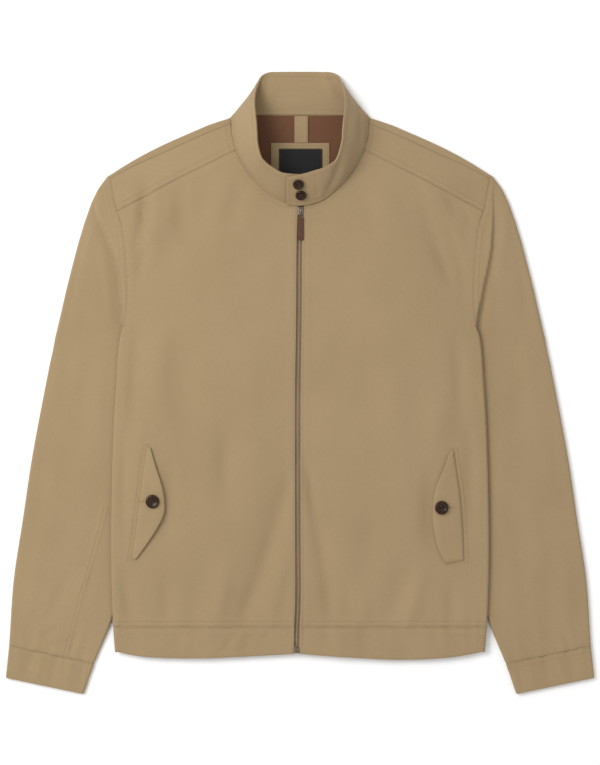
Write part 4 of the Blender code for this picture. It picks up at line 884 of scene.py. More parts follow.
TACKS, TACK_LENGTH, TACK_THREADS = (-155.0, 165.7), (-7.0, 1.0), (-0.35, 0.0, 0.35)
BAND_STITCH, BAND_END_STITCH = 1.8, 3.0
RIPPLE_HEIGHT, RIPPLE_WIDTH = 0.9, 5.5  # where the hem's cloth puckers along the band
BAND_PUCKERS = (-250, -236, -205, -182, -150, -118, -96, -70, -34, 30, 52, 86, 120, 144, 166, 190, 214)

for side in (RIGHT, LEFT):
    plan, yoke_corner, underarm = front_plan(side)
    band_plan = hem_band_plan(plan[-1], side)
    relief, shade_mask = front_relief(plan, side, yoke_corner)
    panel = np.dstack([plan, front_skin(side * plan[..., 0], plan[..., 1]) + relief])
    panel = turned_under(panel, underarm, plan[:, -1, 1])
    shade_mask = np.pad(shade_mask, ((0, 0), (0, panel.shape[1] - shade_mask.shape[1])))
    flat = plan.shape[1]
    sewn_panel = panel.copy()
    sewn_panel[0, :flat] = toward(panel[0, :flat], panel[1, :flat])
    sewn_panel[-1] = toward(panel[-1], panel[-2])
    sewn_panel[:underarm, flat - 1] = toward(panel[:underarm, flat - 1], panel[:underarm, flat - 2])
    sewn_panel[underarm:, -1] = toward(panel[underarm:, -1], panel[underarm:, -2])
    front_grid = sided(sewn_panel, side)
    name = "front_" + SIDE_NAME[side]
    front = cloth(name + "_cloth", front_grid, SHELL_WALL, khaki, plan_uv(front_grid), turned(shade_mask, side))
    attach(front, "jacket")
    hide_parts(name)
    zip_side = "start" if side == LEFT else "end"
    flat_grid_part = sided(sewn_panel[:, :flat], side)
    lines = [inset_line(flat_grid_part, zip_side, row) for row in ZIP_STITCH[side]]
    neck = slice(1, yoke_corner + 1) if side == LEFT else slice(flat - 1 - yoke_corner, flat - 1)
    lines.append(inset_line(flat_grid_part, "top", NECK_STITCH[0], neck.start, neck.stop))
    lines += [inset_line(flat_grid_part, "bottom", row) for row in SEAM_STITCH]
    sew(name + "_stitching", lines)

    distance, along = distance_to(band_plan[0], band_plan[..., 0], band_plan[..., 1])
    low_distance, _ = distance_to(band_plan[-1], band_plan[..., 0], band_plan[..., 1])
    band_x = side * band_plan[..., 0]
    ripples = sum(RIPPLE_HEIGHT * np.sin(place) * beside(band_x - place, RIPPLE_WIDTH)
                  for place in BAND_PUCKERS)
    height = front_skin(band_x, band_plan[..., 1]) - 0.8 * beside(low_distance, 1.3) + ripples
    height += sewn_relief(distance, along, (BAND_STITCH,), 0.15, 0.9)
    band = np.dstack([band_plan, height])
    band = turned_under(band, 0, band_plan[:, -1, 1])
    band[0] = toward(band[0], band[1])
    band[:, -1] = toward(band[:, -1], band[:, -2])
    band_grid = sided(band, side)
    band_shade_mask = np.pad(0.6 * seam_shade_mask(distance, (BAND_STITCH,)), ((0, 0), (0, band.shape[1] - flat)))
    name = "hem_band_" + SIDE_NAME[side]
    hem_band = cloth(name + "_cloth", band_grid, HEM_WALL, khaki, plan_uv(band_grid),
                     turned(band_shade_mask, side))
    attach(hem_band, "jacket")
    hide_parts(name)
    flat_band = sided(band[:, :flat], side)
    band_lines = [inset_line(flat_band, "top", BAND_STITCH)]
    band_lines.append(inset_line(flat_band, zip_side, BAND_END_STITCH, 1, -1))
    sew(name + "_stitching", band_lines)

# short bars of close stitches hold the hem seam where the lining is caught inside
bars = []
for x in TACKS:
    for shift in TACK_THREADS:
        bar_y = HEM_SEAM_Y + np.linspace(*TACK_LENGTH, 9)
        bar_z = front_skin(np.full(9, x), bar_y) + 0.35
        bars.append(upward(np.column_stack([np.full(9, x + shift), bar_y, bar_z])))
sew("hem_tacks", bars)

# ---- Back hem band ------------------------------------------------------------------------------
# The band's back half: one strip of doubled cotton between the two side seams, flat on the floor in
# the middle and lifted by the sleeves at its ends.

BACK_HEM_Y = -356.0
BAND_SIDE_GAP = 1.0
back_band_y = np.linspace(HEM_SEAM_Y - SEAM_GAP / 2, BACK_HEM_Y, 10)
back_band_x = side_seam(back_band_y)[:, 0] - BAND_SIDE_GAP * even(9)
back_band = np.zeros((10, 121, 3))
back_band[..., 0] = back_band_x[:, None] * (1 - 2 * even(120)[None])
back_band[..., 1] = back_band_y[:, None]
back_band[..., 2] = back_height(back_band[..., 0], back_band[..., 1])
hem_back = cloth("hem_band_back_cloth", back_band, HEM_WALL, khaki, plan_uv(back_band))
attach(hem_back, "jacket")
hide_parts("hem_band_back")

# ---- Yokes --------------------------------------------------------------------------------------
# A narrow front yoke on each side, between the neckline, the slanted yoke seam, the armhole and the
# shoulder seam that the back wraps forward to. Twin rows of stitches hold its lower seam and the
# shoulder seam.

NECK_YOKE = ((84.5, 306.2), (89.8, 327.4), (91, 342.2))
SHOULDER_STITCH = (1.5, 6.4)

for side in (RIGHT, LEFT):
    u, v = edged(178, 5.0), edged(42, 4.0)
    plan = coons(smooth_curve(SHOULDER_SEAM, u), smooth_curve(YOKE_SEAM, u),
                 smooth_curve(NECK_YOKE, 1 - v), smooth_curve(ARMHOLE_YOKE, v), u, v)
    x, y = plan[..., 0], plan[..., 1]
    height, shade_mask = front_skin(side * x, y), np.zeros(x.shape)
    edges = ((plan[0], (), 0.2), (plan[-1], YOKE_STITCH, 0.3), (plan[:, 0], NECK_STITCH, 0.1),
             (plan[:, -1], (), 0.2))
    for line, rows, pucker in edges:
        distance, along = distance_to(line, x, y)
        height = height + sewn_relief(distance, along, rows, 0.35, pucker)
        shade_mask = np.maximum(shade_mask, seam_shade_mask(distance, rows))
    grid = np.dstack([plan, height])
    for edge in (grid, grid[::-1], grid.transpose(1, 0, 2), grid.transpose(1, 0, 2)[::-1]):
        edge[0] = toward(edge[0], edge[1])
    yoke_grid = sided(grid, side)
    name = "yoke_" + SIDE_NAME[side]
    yoke = cloth(name + "_cloth", yoke_grid, SHELL_WALL, khaki, plan_uv(yoke_grid), turned(shade_mask, side))
    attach(yoke, "jacket")
    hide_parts(name)
    lines = [inset_line(yoke_grid, "bottom", row) for row in YOKE_STITCH]
    lines.append(inset_line(yoke_grid, "start" if side == LEFT else "end", NECK_STITCH[0]))
    wrap_part = sided(fine_wrap[::-1], side)
    lines += [inset_line(wrap_part, "top", row, lift=0.1) for row in SHOULDER_STITCH]
    sew(name + "_stitching", lines)

# ---- Sleeves and cuffs --------------------------------------------------------------------------
# One sheet goes right round each arm, pressed flat: its upper layer sinks from the front's height to
# the floor, and its lower layer is tucked beneath the body. The cuff is a plain band of doubled cotton.
# Only the right sleeve is turned so that its double-stitched seam shows.

SLEEVE_WALL, CUFF_WALL = 1.4, 2.0
UNDERARM_OUTSIDE = (235.6, 75.0, 7.6)   # where the sleeve turns down beside the side fold
SLEEVE_OUTER = ((253, 272.6), (259.5, 266), (266.6, 254.8), (275.9, 235), (289.1, 195.4), (304.9, 136),
                (314.2, 96.4), (323.4, 56.8))
SLEEVE_OUTER_LOW = ((323.4, 56.8), (339.2, -22.4), (353.8, -101.6), (365.6, -180.8), (377.5, -260),
                    (383.4, -345.8))
SLEEVE_INNER_LOW = ((229.5, 67), (205, 54), (170, 26), (158.5, -12), (163, -40), (181, -92),
                    (204, -156), (226, -234), (247, -310), (271.9, -369.6))
CUFF_OUTER, CUFF_INNER = ((383.4, -345.8), (388, -388.5)), ((271.9, -369.6), (285.1, -410))
SLEEVE_SEAM = ((250.8, -161), (268, -227), (283.8, -279.8), (302.5, -350), (305.4, -361.5))
# folds as above, x as if for the wearer's left
SLEEVE_FOLDS = {
    RIGHT: (
        (283, 205, 268, 150, 262, 60, 17, 1.5), (300, -20, 306, -100, 300, -170, 20, -1.5),
        (330, -190, 338, -270, 322, -335, 16, 1.25), (278, 200, 290, 130, 296, 70, 9, 1),
        (262, 180, 252, 130, 250, 80, 6, 1.12), (300, 180, 308, 120, 312, 60, 6, -0.75),
        (286, 60, 300, -10, 306, -70, 9, 0.88), (262, 40, 270, -40, 276, -110, 13, 1),
        (258, -120, 272, -180, 280, -240, 9, -0.88), (330, -60, 338, -130, 345, -190, 8, -0.75),
        (300, -240, 318, -290, 340, -320, 7, -1), (345, -215, 352, -265, 356, -320, 8, 0.88),
        (318, -322, 332, -334, 350, -338, 4, -1.12), (300, -338, 316, -346, 334, -348, 3.6, -1),
        (352, -300, 360, -322, 362, -340, 5, -0.88), (285, -330, 292, -348, 298, -358, 4, 0.88),
        (336, -318, 344, -334, 346, -347, 5, 1), (246, 40, 252, -20, 256, -80, 6, -1),
        (256, -10, 290, -22, 320, -16, 9, -0.5),
    ),
    LEFT: (
        (262, -60, 266, -140, 268, -200, 17, 1.5), (318, -250, 328, -300, 340, -340, 15, -1.25),
        (270, 235, 268, 180, 262, 130, 7, 1.12), (252, 120, 246, 90, 246, 66, 6, 1.12),
        (286, 200, 296, 140, 300, 80, 8, -0.75), (296, 60, 306, 0, 312, -60, 10, 0.88),
        (280, 40, 290, -40, 300, -110, 11, -0.88), (330, -40, 340, -110, 348, -180, 8, -0.75),
        (300, -150, 312, -210, 322, -260, 10, 1), (284, -200, 292, -250, 300, -300, 8, -0.88),
        (345, -220, 352, -280, 356, -330, 8, 0.88), (316, -318, 326, -334, 340, -340, 4, -1.12),
        (334, -322, 344, -338, 352, -352, 4.5, 1.12), (300, -330, 310, -345, 322, -350, 4, -0.88),
        (356, -308, 364, -325, 366, -342, 4, -0.88), (286, -335, 290, -350, 296, -360, 4, 0.75),
        (248, 30, 254, -30, 258, -90, 6, -1),
    ),
}
CUFF_FOLDS = (
    (318, -352, 324, -375, 330, -398, 5, -0.9), (336, -350, 340, -370, 350, -392, 4, 0.8),
    (300, -360, 303, -380, 310, -402, 5, 0.6), (352, -350, 358, -368, 362, -388, 4.5, -0.8),
    (368, -348, 372, -366, 374, -386, 4, 0.5), (286, -372, 290, -385, 294, -400, 4, -0.6),
)
# where the cloth beside the armhole drops to the flat of the sleeve: y, x
SLEEVE_CREASE = {
    RIGHT: ((272, 262), (240, 269), (221, 267), (204, 258), (184, 250), (164.5, 242.5), (149, 238.5),
            (122.5, 235.2), (92, 233.2), (60, 232.0)),
    LEFT: ((272, 256), (262, 254.5), (215, 254.2), (175.6, 251.5), (150, 247), (136, 244), (118, 240),
           (103, 237), (82, 232.6), (60, 231.4)),
}
CREASE_WIDTH = {RIGHT: 5.0, LEFT: 3.0}
CREASE_HOLLOW = {RIGHT: 1.6, LEFT: 1.0}
ROUND_ANGLES = np.radians(np.linspace(72, -72, 9))
START_ANGLES = np.radians((180, 157.5, 135, 112.5))
FLAT_UPPER = edged(110, 3.4, both=False)
FLAT_LOWER = even(14)[::-1]


def evened(line, share):
    """Moves a line's points towards an even spacing along it, by a share from 0 to 1."""
    reach = reach_along(line)
    wanted = reach + (reach[-1] * even(len(line) - 1) - reach) * share
    return np.stack([np.interp(wanted, reach, axis) for axis in line.T], axis=1)


def sleeve_ring(inner, outer, back=None, back_z=0.0):
    """One row round a sleeve. An open row runs from the armhole's front seam to its back seam."""
    r = SLEEVE_THICK / 2
    is_open = back is not None
    width = np.linalg.norm(outer - inner)
    first = 0.02 * width if is_open else r
    if is_open:
        reach = first * even(4)[:4]
        rise = np.full(4, SLEEVE_THICK)
    else:
        reach = r + r * np.cos(START_ANGLES)
        rise = r + r * np.sin(START_ANGLES)
    across = first + (width - r - first) * FLAT_UPPER
    reach = np.concatenate([reach, across, width - r + r * np.cos(ROUND_ANGLES)]) / width
    rise = np.concatenate([rise, np.full(len(across), SLEEVE_THICK), r + r * np.sin(ROUND_ANGLES)])
    upper = np.column_stack([inner + (outer - inner) * reach[:, None], rise])
    start = back if is_open else inner
    width = np.linalg.norm(outer - start)
    across = first + (width - r - first) * FLAT_LOWER
    if is_open:
        across = np.concatenate([across, first * even(3)[2::-1]])
        low = back_z * smoothstep((0.3 - across / width) / 0.3)
    else:
        across = np.concatenate([across, r + r * np.cos(START_ANGLES[:0:-1])])
        low = np.concatenate([np.zeros(len(FLAT_LOWER)), r - r * np.sin(START_ANGLES[:0:-1])])
    lower = np.column_stack([start + (outer - start) * (across / width)[:, None], low])
    ring = np.vstack([upper, lower])
    return evened(ring, 1 - 0.9 * smoothstep((width - 6) / 60)) if is_open else ring


def end_to_end(first, first_steps, then, then_steps):
    """Two smooth lines that follow each other."""
    return np.vstack([smooth_curve(first, even(first_steps)), smooth_curve(then, even(then_steps))[1:]])


def above_cloth(line):
    """A line of stitches whose cloth is taken to face up."""
    points, facing = line
    return points, np.where(facing[:, 2:] < 0, -facing, facing)


def sleeve_rings():
    """A sleeve's main rows: those open at the armhole, those that go right round, and the cuff's."""
    armhole = end_to_end(ARMHOLE_YOKE, 3, ARMHOLE_FRONT, 7)
    outer = smooth_curve(SLEEVE_OUTER, even(10))
    back_line = smooth_curve(BACK_ARMHOLE, even(10))
    leave = 0.78                        # near the underarm the lower layer leaves the back's armhole

    def left_early(line, share, last):
        return np.vstack([line[:-1], line[-2] + (line[-1] - line[-2]) * share, last])
    outer = left_early(outer, leave - 0.2, outer[-1])
    armhole = left_early(armhole, leave, armhole[-1])
    back_line = left_early(back_line, leave, UNDERARM_OUTSIDE[:2])
    opened = []
    for a, b, c in zip(armhole, outer, back_line):
        back_z = min(float(back_height(c[0], c[1])), UNDERARM_OUTSIDE[2] - 3.2)
        ring = sleeve_ring(a, b, c, back_z)
        ring[[0, 1, 2, 3, -1], 0] += SEAM_GAP / 2
        opened.append(ring)
    inner_low = smooth_curve(SLEEVE_INNER_LOW, even(15))
    outer_low = smooth_curve(SLEEVE_OUTER_LOW, even(16))[1:]
    closed = [sleeve_ring(a, b) for a, b in zip(inner_low, outer_low)]
    cuff_inner, cuff_outer = smooth_curve(CUFF_INNER, even(2)), smooth_curve(CUFF_OUTER, even(2))
    cuff = [sleeve_ring(a, b) for a, b in zip(cuff_inner, cuff_outer)]
    return np.array(opened), np.array(closed), np.array(cuff)


def wrapped_uv(grid):
    """Threads that run down the middle of a piece that goes round, in metres."""
    around = np.concatenate([grid, grid[:, :1]], axis=1)
    step = np.linalg.norm(np.diff(around, axis=1), axis=2)
    u = np.concatenate([np.zeros((len(grid), 1)), np.cumsum(step, axis=1)], axis=1)
    down = np.linalg.norm(np.diff(around, axis=0), axis=2)
    v = np.concatenate([np.zeros((1, around.shape[1])), -np.cumsum(down, axis=0)], axis=0)
    middle = around.shape[1] // 3
    return np.dstack([u - u[:, middle:middle + 1], v]) * MM


def sleeve_folds(side, x, y):
    """Height of the folds and the swell of a sleeve's upper layer."""
    return fold_height(x, y, SLEEVE_FOLDS[side]) + 0.8 * drape_ripple(1.3 * x, y)


UPPER_COLUMNS = len(START_ANGLES) + len(FLAT_UPPER)
ROW_STEPS, CUFF_STEPS = 7, 9
SLEEVE_STITCH = (1.6, 7.0)

for side in (RIGHT, LEFT):
    opened, closed, cuff_rings = sleeve_rings()
    rows = refine(np.concatenate([opened, closed]), ROW_STEPS)
    first_closed = len(opened) * ROW_STEPS
    x, y = rows[..., 0], rows[..., 1]
    upper = np.zeros(rows.shape[1])
    upper[:UPPER_COLUMNS] = 1
    upper[UPPER_COLUMNS:UPPER_COLUMNS + len(ROUND_ANGLES)] = np.maximum(0, np.sin(ROUND_ANGLES))
    armhole_line = end_to_end(ARMHOLE_YOKE, 20, ARMHOLE_FRONT, 50)
    outer_line = end_to_end(SLEEVE_OUTER, 50, SLEEVE_OUTER_LOW, 60)
    from_armhole, along = distance_to(armhole_line, x, y)
    from_outer, _ = distance_to(outer_line, x, y)
    beside_body = smoothstep((x - read_table(SIDE_EDGE, y, 1) - 2) / 12)
    clear = np.where(y < UNDERARM_Y, beside_body, np.maximum(beside_body, smoothstep(from_armhole / 14)))
    bend = sleeve_folds(side, x, y)
    # from the seam to the crease the sleeve lies as high as the front does along the armhole
    past = x - read_table(SLEEVE_CREASE[side], y, 1)
    seam_y = np.maximum(y, UNDERARM_Y)
    seam_high = front_height(side * side_x(seam_y), seam_y) - SLEEVE_THICK
    dropped = smoothstep(past / CREASE_WIDTH[side] + 0.5)
    hollow = CREASE_HOLLOW[side] * dropped * beside(np.maximum(past, 0), 9)
    hollow = hollow * smoothstep((250 - y) / 60)
    beyond = np.where(y > UNDERARM_Y, 1.0, smoothstep((y - 64) / 9))
    rows[..., 2] += (seam_high * (1 - dropped) * beyond - hollow * smoothstep((y - 40) / 40)) * upper
    rows[..., 2] += bend * clear * smoothstep((from_outer - 1) / 13) * upper
    sewn_here = upper * smoothstep((y - UNDERARM_Y) / 5 + 0.6)
    relief = sewn_relief(from_armhole, along, ARMHOLE_STITCH, 0.12, 0.4) * sewn_here
    shade_mask = seam_shade_mask(from_armhole, ARMHOLE_STITCH) * sewn_here
    cuff_seam = rows[-1, :UPPER_COLUMNS, :2]
    from_cuff, along_cuff = distance_to(cuff_seam, x, y)
    gathered = 0.45 * np.sin(along_cuff / 2.9 + 0.7 * side) * np.sin(along_cuff / 11.0)
    gathered = gathered * np.exp(-from_cuff / 22)
    relief += (sewn_relief(from_cuff, along_cuff, (), 0.2, 0.6) + 1.6 * gathered) * (y < 0)
    shade_mask = np.maximum(shade_mask, seam_shade_mask(from_cuff, ()) * (y < 0))
    if side == RIGHT:
        seam_line = smooth_curve(SLEEVE_SEAM, even(40))
        from_seam, along_seam = distance_to(seam_line, x, y)
        ahead = x > np.interp(-y, -seam_line[:, 1], seam_line[:, 0])
        within = upper * smoothstep((-150 - y) / 14)
        relief += within * (0.3 * ahead * (1 - smoothstep((from_seam - 8) / 3))
                            - 0.3 * beside(from_seam, 0.9)
                            - 0.24 * ahead * beside(from_seam - 7, 0.9))
        shade_mask = np.maximum(shade_mask, within * beside(from_seam, 1.2))
    rows = rows + outward_normals(rows, around=True) * (relief * (0.35 + 0.65 * upper))[..., None]
    rows[0] = toward(rows[0], rows[1])
    rows[-1] = toward(rows[-1], rows[-2])
    rows[..., 2] = np.maximum(rows[..., 2], 0.0)
    name = "sleeve_" + SIDE_NAME[side]
    sleeve_grid = sided(rows, side)
    sleeve = cloth(name + "_cloth", sleeve_grid, SLEEVE_WALL, khaki, wrapped_uv(sleeve_grid),
                   turned(shade_mask, side), closed_from=first_closed)
    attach(sleeve, "jacket")
    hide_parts(name)
    sew_part = rows[:first_closed - ROW_STEPS, :UPPER_COLUMNS] * (side, 1, 1)
    lines = [above_cloth(inset_line(sew_part, "start", row, 2, None, 0.1)) for row in ARMHOLE_STITCH]
    if side == RIGHT:
        for row in SLEEVE_STITCH:
            bent = smooth_curve(SLEEVE_SEAM, np.linspace(0.02, 1.0, 60)) + (row, 0)
            high = SLEEVE_THICK + sleeve_folds(side, bent[:, 0], bent[:, 1]) + 0.35
            lines.append(upward(np.column_stack([bent * (side, 1), high])))
    sew(name + "_stitching", lines)

    cuff_rows = refine(cuff_rings, CUFF_STEPS)
    x, y = cuff_rows[..., 0], cuff_rows[..., 1]
    from_outer, _ = distance_to(smooth_curve(CUFF_OUTER, even(8)), x, y)
    from_inner, _ = distance_to(smooth_curve(CUFF_INNER, even(8)), x, y)
    clear = smoothstep((from_outer - 1) / 9) * smoothstep((from_inner - 1) / 9)
    cuff_rows[..., 2] += 1.5 * fold_height(x, y, CUFF_FOLDS) * clear * upper
    from_seam, along_seam = distance_to(cuff_rows[0, :UPPER_COLUMNS, :2], x, y)
    from_edge, _ = distance_to(cuff_rows[-1, :UPPER_COLUMNS, :2], x, y)
    relief = sewn_relief(from_seam, along_seam, SEAM_STITCH, 0.2, 0.7) - 0.5 * beside(from_edge, 1.2)
    shade_mask = 0.6 * seam_shade_mask(from_seam, SEAM_STITCH[:1])
    relief = relief * (0.3 + 0.7 * upper)
    cuff_rows = cuff_rows + outward_normals(cuff_rows, around=True) * relief[..., None]
    cuff_rows[0] = toward(cuff_rows[0], cuff_rows[1])
    cuff_rows[..., 2] = np.maximum(cuff_rows[..., 2], 0.0)
    cuff_grid = sided(cuff_rows, side)
    name = "cuff_" + SIDE_NAME[side]
    cuff = cloth(name + "_cloth", cuff_grid, CUFF_WALL, khaki, wrapped_uv(cuff_grid), turned(shade_mask, side),
                 closed_from=0)
    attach(cuff, "jacket")
    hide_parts(name)
    sew_part = cuff_rows[:, 2:UPPER_COLUMNS] * (side, 1, 1)
    lines = [above_cloth(inset_line(sew_part, "top", row, lift=0.1)) for row in SEAM_STITCH]
    sew(name + "_stitching", lines)

# ---- Collar -------------------------------------------------------------------------------------
# A stand collar of doubled cotton with a firm interlining, one band from its lapped left end round the
# back of the neck to the right end below it. It is sewn to the neck edge, stands up round the front, and
# its back lies down on the floor, with a row of stitches along its free edge and one above its seam.

COLLAR_WALL = 2.4
COLLAR_BOW = 1.6                        # how far the band bulges between its two edges
COLLAR_SEAT, COLLAR_CORNER_SEAT = 0.2, 0.7
COLLAR_STITCH, COLLAR_END_STITCH = 6.2, 3.0
# outer face: neck seam (x, y, z), free edge (x, y, z)
COLLAR_RIGHT = (
    ((-90.9, 342.2, 6.6), (-58.6, 353.0, 42)), ((-90.0, 326.4, 9.8), (-56.5, 332.6, 50)),
    ((-84.3, 306.3, 13.2), (-55.8, 314.1, 53)), ((-72.4, 283.0, 16.0), (-51.9, 296.0, 53)),
    ((-55.2, 260.4, 18.3), (-45.5, 287.2, 50.5)), ((-36.8, 244.6, 19.2), (-33.8, 278.9, 48)),
    ((-18.4, 236.6, 19.4), (-19.5, 272.6, 46)), ((0.0, 235.6, 19.5), (0.0, 271.3, 45)),
    ((16.0, 239.6, 19.3), (15.5, 273.0, 45.4)),
)
COLLAR_BACK = (
    ((-90.3, 348.9, 4.0), (-59.5, 374.2, 28)), ((-84.4, 352.0, 1.3), (-55.9, 394.5, 12)),
    ((-72.6, 352.8, 0.0), (-48.3, 407.8, 3)), ((-55.4, 353.4, 0.0), (-34.3, 410.0, 0.6)),
    ((-29.0, 353.9, 0.0), (-18.5, 410.5, 0)),
)
COLLAR_LAP = (
    ((55.2, 260.4, 18.7), (45.5, 287.7, 51)), ((36.8, 243.9, 20.9), (32.5, 280.0, 50.5)),
    ((18.4, 235.3, 22.5), (13.0, 274.2, 49.5)), ((0.0, 232.3, 22.9), (-2.6, 269.9, 48.8)),
    ((-17.2, 233.3, 22.9), (-17.0, 267.4, 48.2)),
)
# creases of the standing part, and of the part that lies on the floor behind the neck
COLLAR_CREASES = (
    (79, 362, 77, 338, 80, 312, 3.2, -1.6), (56, 310, 53, 275, 33, 247, 4.0, -1.5),
    (66, 300, 60, 275, 46, 256, 4.0, 0.8), (84, 330, 82, 316, 78, 300, 3.0, 0.7),
    (72, 350, 70, 330, 69, 310, 4.0, 0.7), (62, 345, 61, 325, 58, 305, 3.5, -0.6),
    (-74, 330, -70, 300, -56, 276, 5.0, -0.7), (-64, 345, -63, 320, -62, 300, 4.5, 0.6),
    (-40, 262, -38, 252, -30, 245, 4.0, 0.5), (22, 262, 24, 250, 20, 243, 4.0, -0.5),
)
BACK_CREASES = (
    (28, 405, 36, 402, 43, 405, 3.0, 1.2), (32, 398, 38, 394, 46, 393, 3.0, 1.0),
    (36, 392, 41, 386, 48, 378, 4.0, 0.9), (-50, 402, -50, 390, -54, 376, 4.0, 0.9),
    (-20, 372, 0, 368, 24, 372, 7.0, 0.5), (-35, 395, -36, 380, -44, 364, 6.0, 0.5),
)


def neck_edge():
    """The body's neck edge from the zip round to the middle of the back, for one side."""
    start = zip_edge(NECK_TOP_Y, RIGHT)
    front = smooth_curve((tuple(start),) + NECK_FRONT[1:], even(6))
    line = np.vstack([front, smooth_curve(NECK_YOKE, even(3))[1:]])
    line = np.column_stack([line, front_height(line[:, 0], line[:, 1])])
    over = wrap[3:0:-1, 0]
    back = smooth_curve([(-x, y, z) for (x, y, z), _ in COLLAR_BACK[::-1]], even(4))[:4]
    back[:, 2] = 0.0
    return np.vstack([line, over, back[::-1], [(0.0, 353.9, 0.0)]])


def collar_pairs():
    """Neck and free edge of the collar, from the lapped end round the back to the end below it."""
    middle = (((0.0, 353.9, 0.0), (0.0, 410.5, 0.0)),)
    half = refine(middle + COLLAR_BACK[::-1] + COLLAR_RIGHT[:8], 24)
    edge = neck_edge()
    across = edge * (-1, 1, 1)
    places = np.array([np.linalg.norm(half[:, 0] - point, axis=1).argmin() for point in across], float)
    for _ in range(4):
        places[1:-1] = (places[:-2] + 2 * places[1:-1] + places[2:]) / 4
    free = half[np.round(places).astype(int), 1] * (-1, 1, 1)
    left = np.stack([edge, free], axis=1)
    lap = refine(COLLAR_LAP[::-1], 3)
    under = np.array(COLLAR_RIGHT[7:], float)
    standing = left[left[:, 0, 1] > 270]
    right = left[-2:0:-1] * (-1, 1, 1)
    return np.concatenate([lap, standing, right, under])


pairs = refine(collar_pairs(), 4)
collar_neck, collar_free = pairs[:, 0], pairs[:, 1]
collar_down = collar_neck - collar_free
collar_along = np.gradient(collar_neck, axis=0)
collar_out = np.cross(collar_down, collar_along)
collar_out /= np.linalg.norm(collar_out, axis=1, keepdims=True)
corner_lift = smoothstep((collar_neck[:, 1] - 330) / 12) * smoothstep((np.abs(collar_neck[:, 0]) - 60) / 15)
unit_down = collar_down / np.linalg.norm(collar_down, axis=1, keepdims=True)
collar_seat = collar_neck - unit_down * (COLLAR_SEAT + COLLAR_CORNER_SEAT * corner_lift)[:, None]
collar_bow = COLLAR_BOW * np.minimum(1.0, (collar_neck[:, 2] + collar_free[:, 2]) / 50)
t = edged(48, 3.4)[:, None, None]
collar_grid = (collar_free[None] * (1 - t) + collar_seat[None] * t
               + collar_out[None] * collar_bow[None, :, None] * np.sin(math.pi * t))
x, y = collar_grid[..., 0], collar_grid[..., 1]
height_of_band = np.linalg.norm(collar_seat - collar_free, axis=1)[None]
from_free, from_neck = t[..., 0] * height_of_band, (1 - t[..., 0]) * height_of_band
collar_reach = reach_along(collar_free)
from_end = collar_reach[None] + 0 * x
collar_relief = sewn_relief(from_free, from_end, (COLLAR_STITCH,), 0.3, 0.3)
collar_relief = collar_relief + sewn_relief(from_neck, from_end, (COLLAR_STITCH,), 0.1, 0.35)
collar_relief -= 0.24 * beside(from_end - COLLAR_END_STITCH, 0.9) + 0.4 * beside(from_end, 1.0)
laid_down = smoothstep((y - 350) / 6) * smoothstep((16 - collar_grid[..., 2]) / 10)
collar_relief = collar_relief + 1.6 * fold_height(x, y, COLLAR_CREASES) * (1 - laid_down)
collar_relief = collar_relief - 2.2 * fold_height(x, y, BACK_CREASES) * laid_down
collar_relief = np.where(laid_down > 0.5, np.minimum(collar_relief, 0.0), collar_relief)
collar_grid = collar_grid + collar_out[None] * collar_relief[..., None]
collar_grid[..., 2] = np.maximum(collar_grid[..., 2], 0.0)
collar_shade_mask = np.maximum(seam_shade_mask(from_free, (COLLAR_STITCH,)),
                         0.5 * seam_shade_mask(from_neck, (COLLAR_STITCH,)))
collar_uv = np.dstack([collar_reach[None] + 0 * x, -from_free]) * MM
collar = cloth("collar_cloth", collar_grid, COLLAR_WALL, khaki, collar_uv, collar_shade_mask)
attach(collar, "jacket")
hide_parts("collar")
collar_lines = [inset_line(collar_grid, edge, COLLAR_STITCH, 4, -3, 0.1) for edge in ("top", "bottom")]
collar_lines.append(inset_line(collar_grid, "start", COLLAR_END_STITCH, 8, -8, 0.1))
inner_face = collar_grid - outward_normals(collar_grid) * COLLAR_WALL
for edge in ("top", "bottom"):
    points, facing = inset_line(inner_face, edge, COLLAR_STITCH, 4, -3, -0.1)
    collar_lines.append((points, -facing))
sew("collar_stitching", collar_lines)


def collar_front(x, up):
    """A point of the lapped end's outer face: x, and how far up from the neck seam, from 0 to 1."""
    neck, free = np.array(COLLAR_LAP[3], float)
    point = neck + (free - neck) * up
    outward = np.cross(neck - free, (1, 0, 0))
    point = point + outward / np.linalg.norm(outward) * COLLAR_BOW * math.sin(math.pi * up)
    return Vector((x, point[1], point[2]))


# ---- Zip ----------------------------------------------------------------------------------------
# A spiral zip sewn in between the two fronts: a woven tape on each side whose inner edge carries a row
# of moulded teeth, a dark metal slider with a wire bridge near the collar, and the box at the hem where
# the two tapes join.

TAPE_DROP = 2.8                         # from the front's outer face down to the tape
TAPE_TOP_Y, TAPE_END_Y = 231.0, -353.0
TAPE_WALL, TAPE_REACH = 1.0, 14.0
TOOTH_PITCH, TOOTH_SIZE, HEAD_SIZE = 1.5, (2.7, 0.85, 1.3), (1.3, 0.85, 0.9)
SLIDER_Y, SLIDER_WIDTH, SLIDER_LENGTH, SLIDER_HEIGHT = 225.5, 8.2, 12.0, 4.2
PULL_TOP_Y, PULL_WIDTH, PULL_LENGTH, PULL_WALL = 217.4, 9.4, 30.0, 1.8
BOX_Y, BOX_WIDTH, BOX_LENGTH, BOX_HEIGHT = -351.5, 8.2, 8.0, 3.0

TAPE_COLOUR, TAPE_DEEP, TAPE_WORN = (0.33, 0.235, 0.14), (0.21, 0.145, 0.084), (0.37, 0.265, 0.16)
tape_cloth = woven_material("zip_tape", TAPE_COLOUR, TAPE_DEEP, TAPE_WORN, 0.0008, 0.7, 0.1, 0.0001, 0.0)


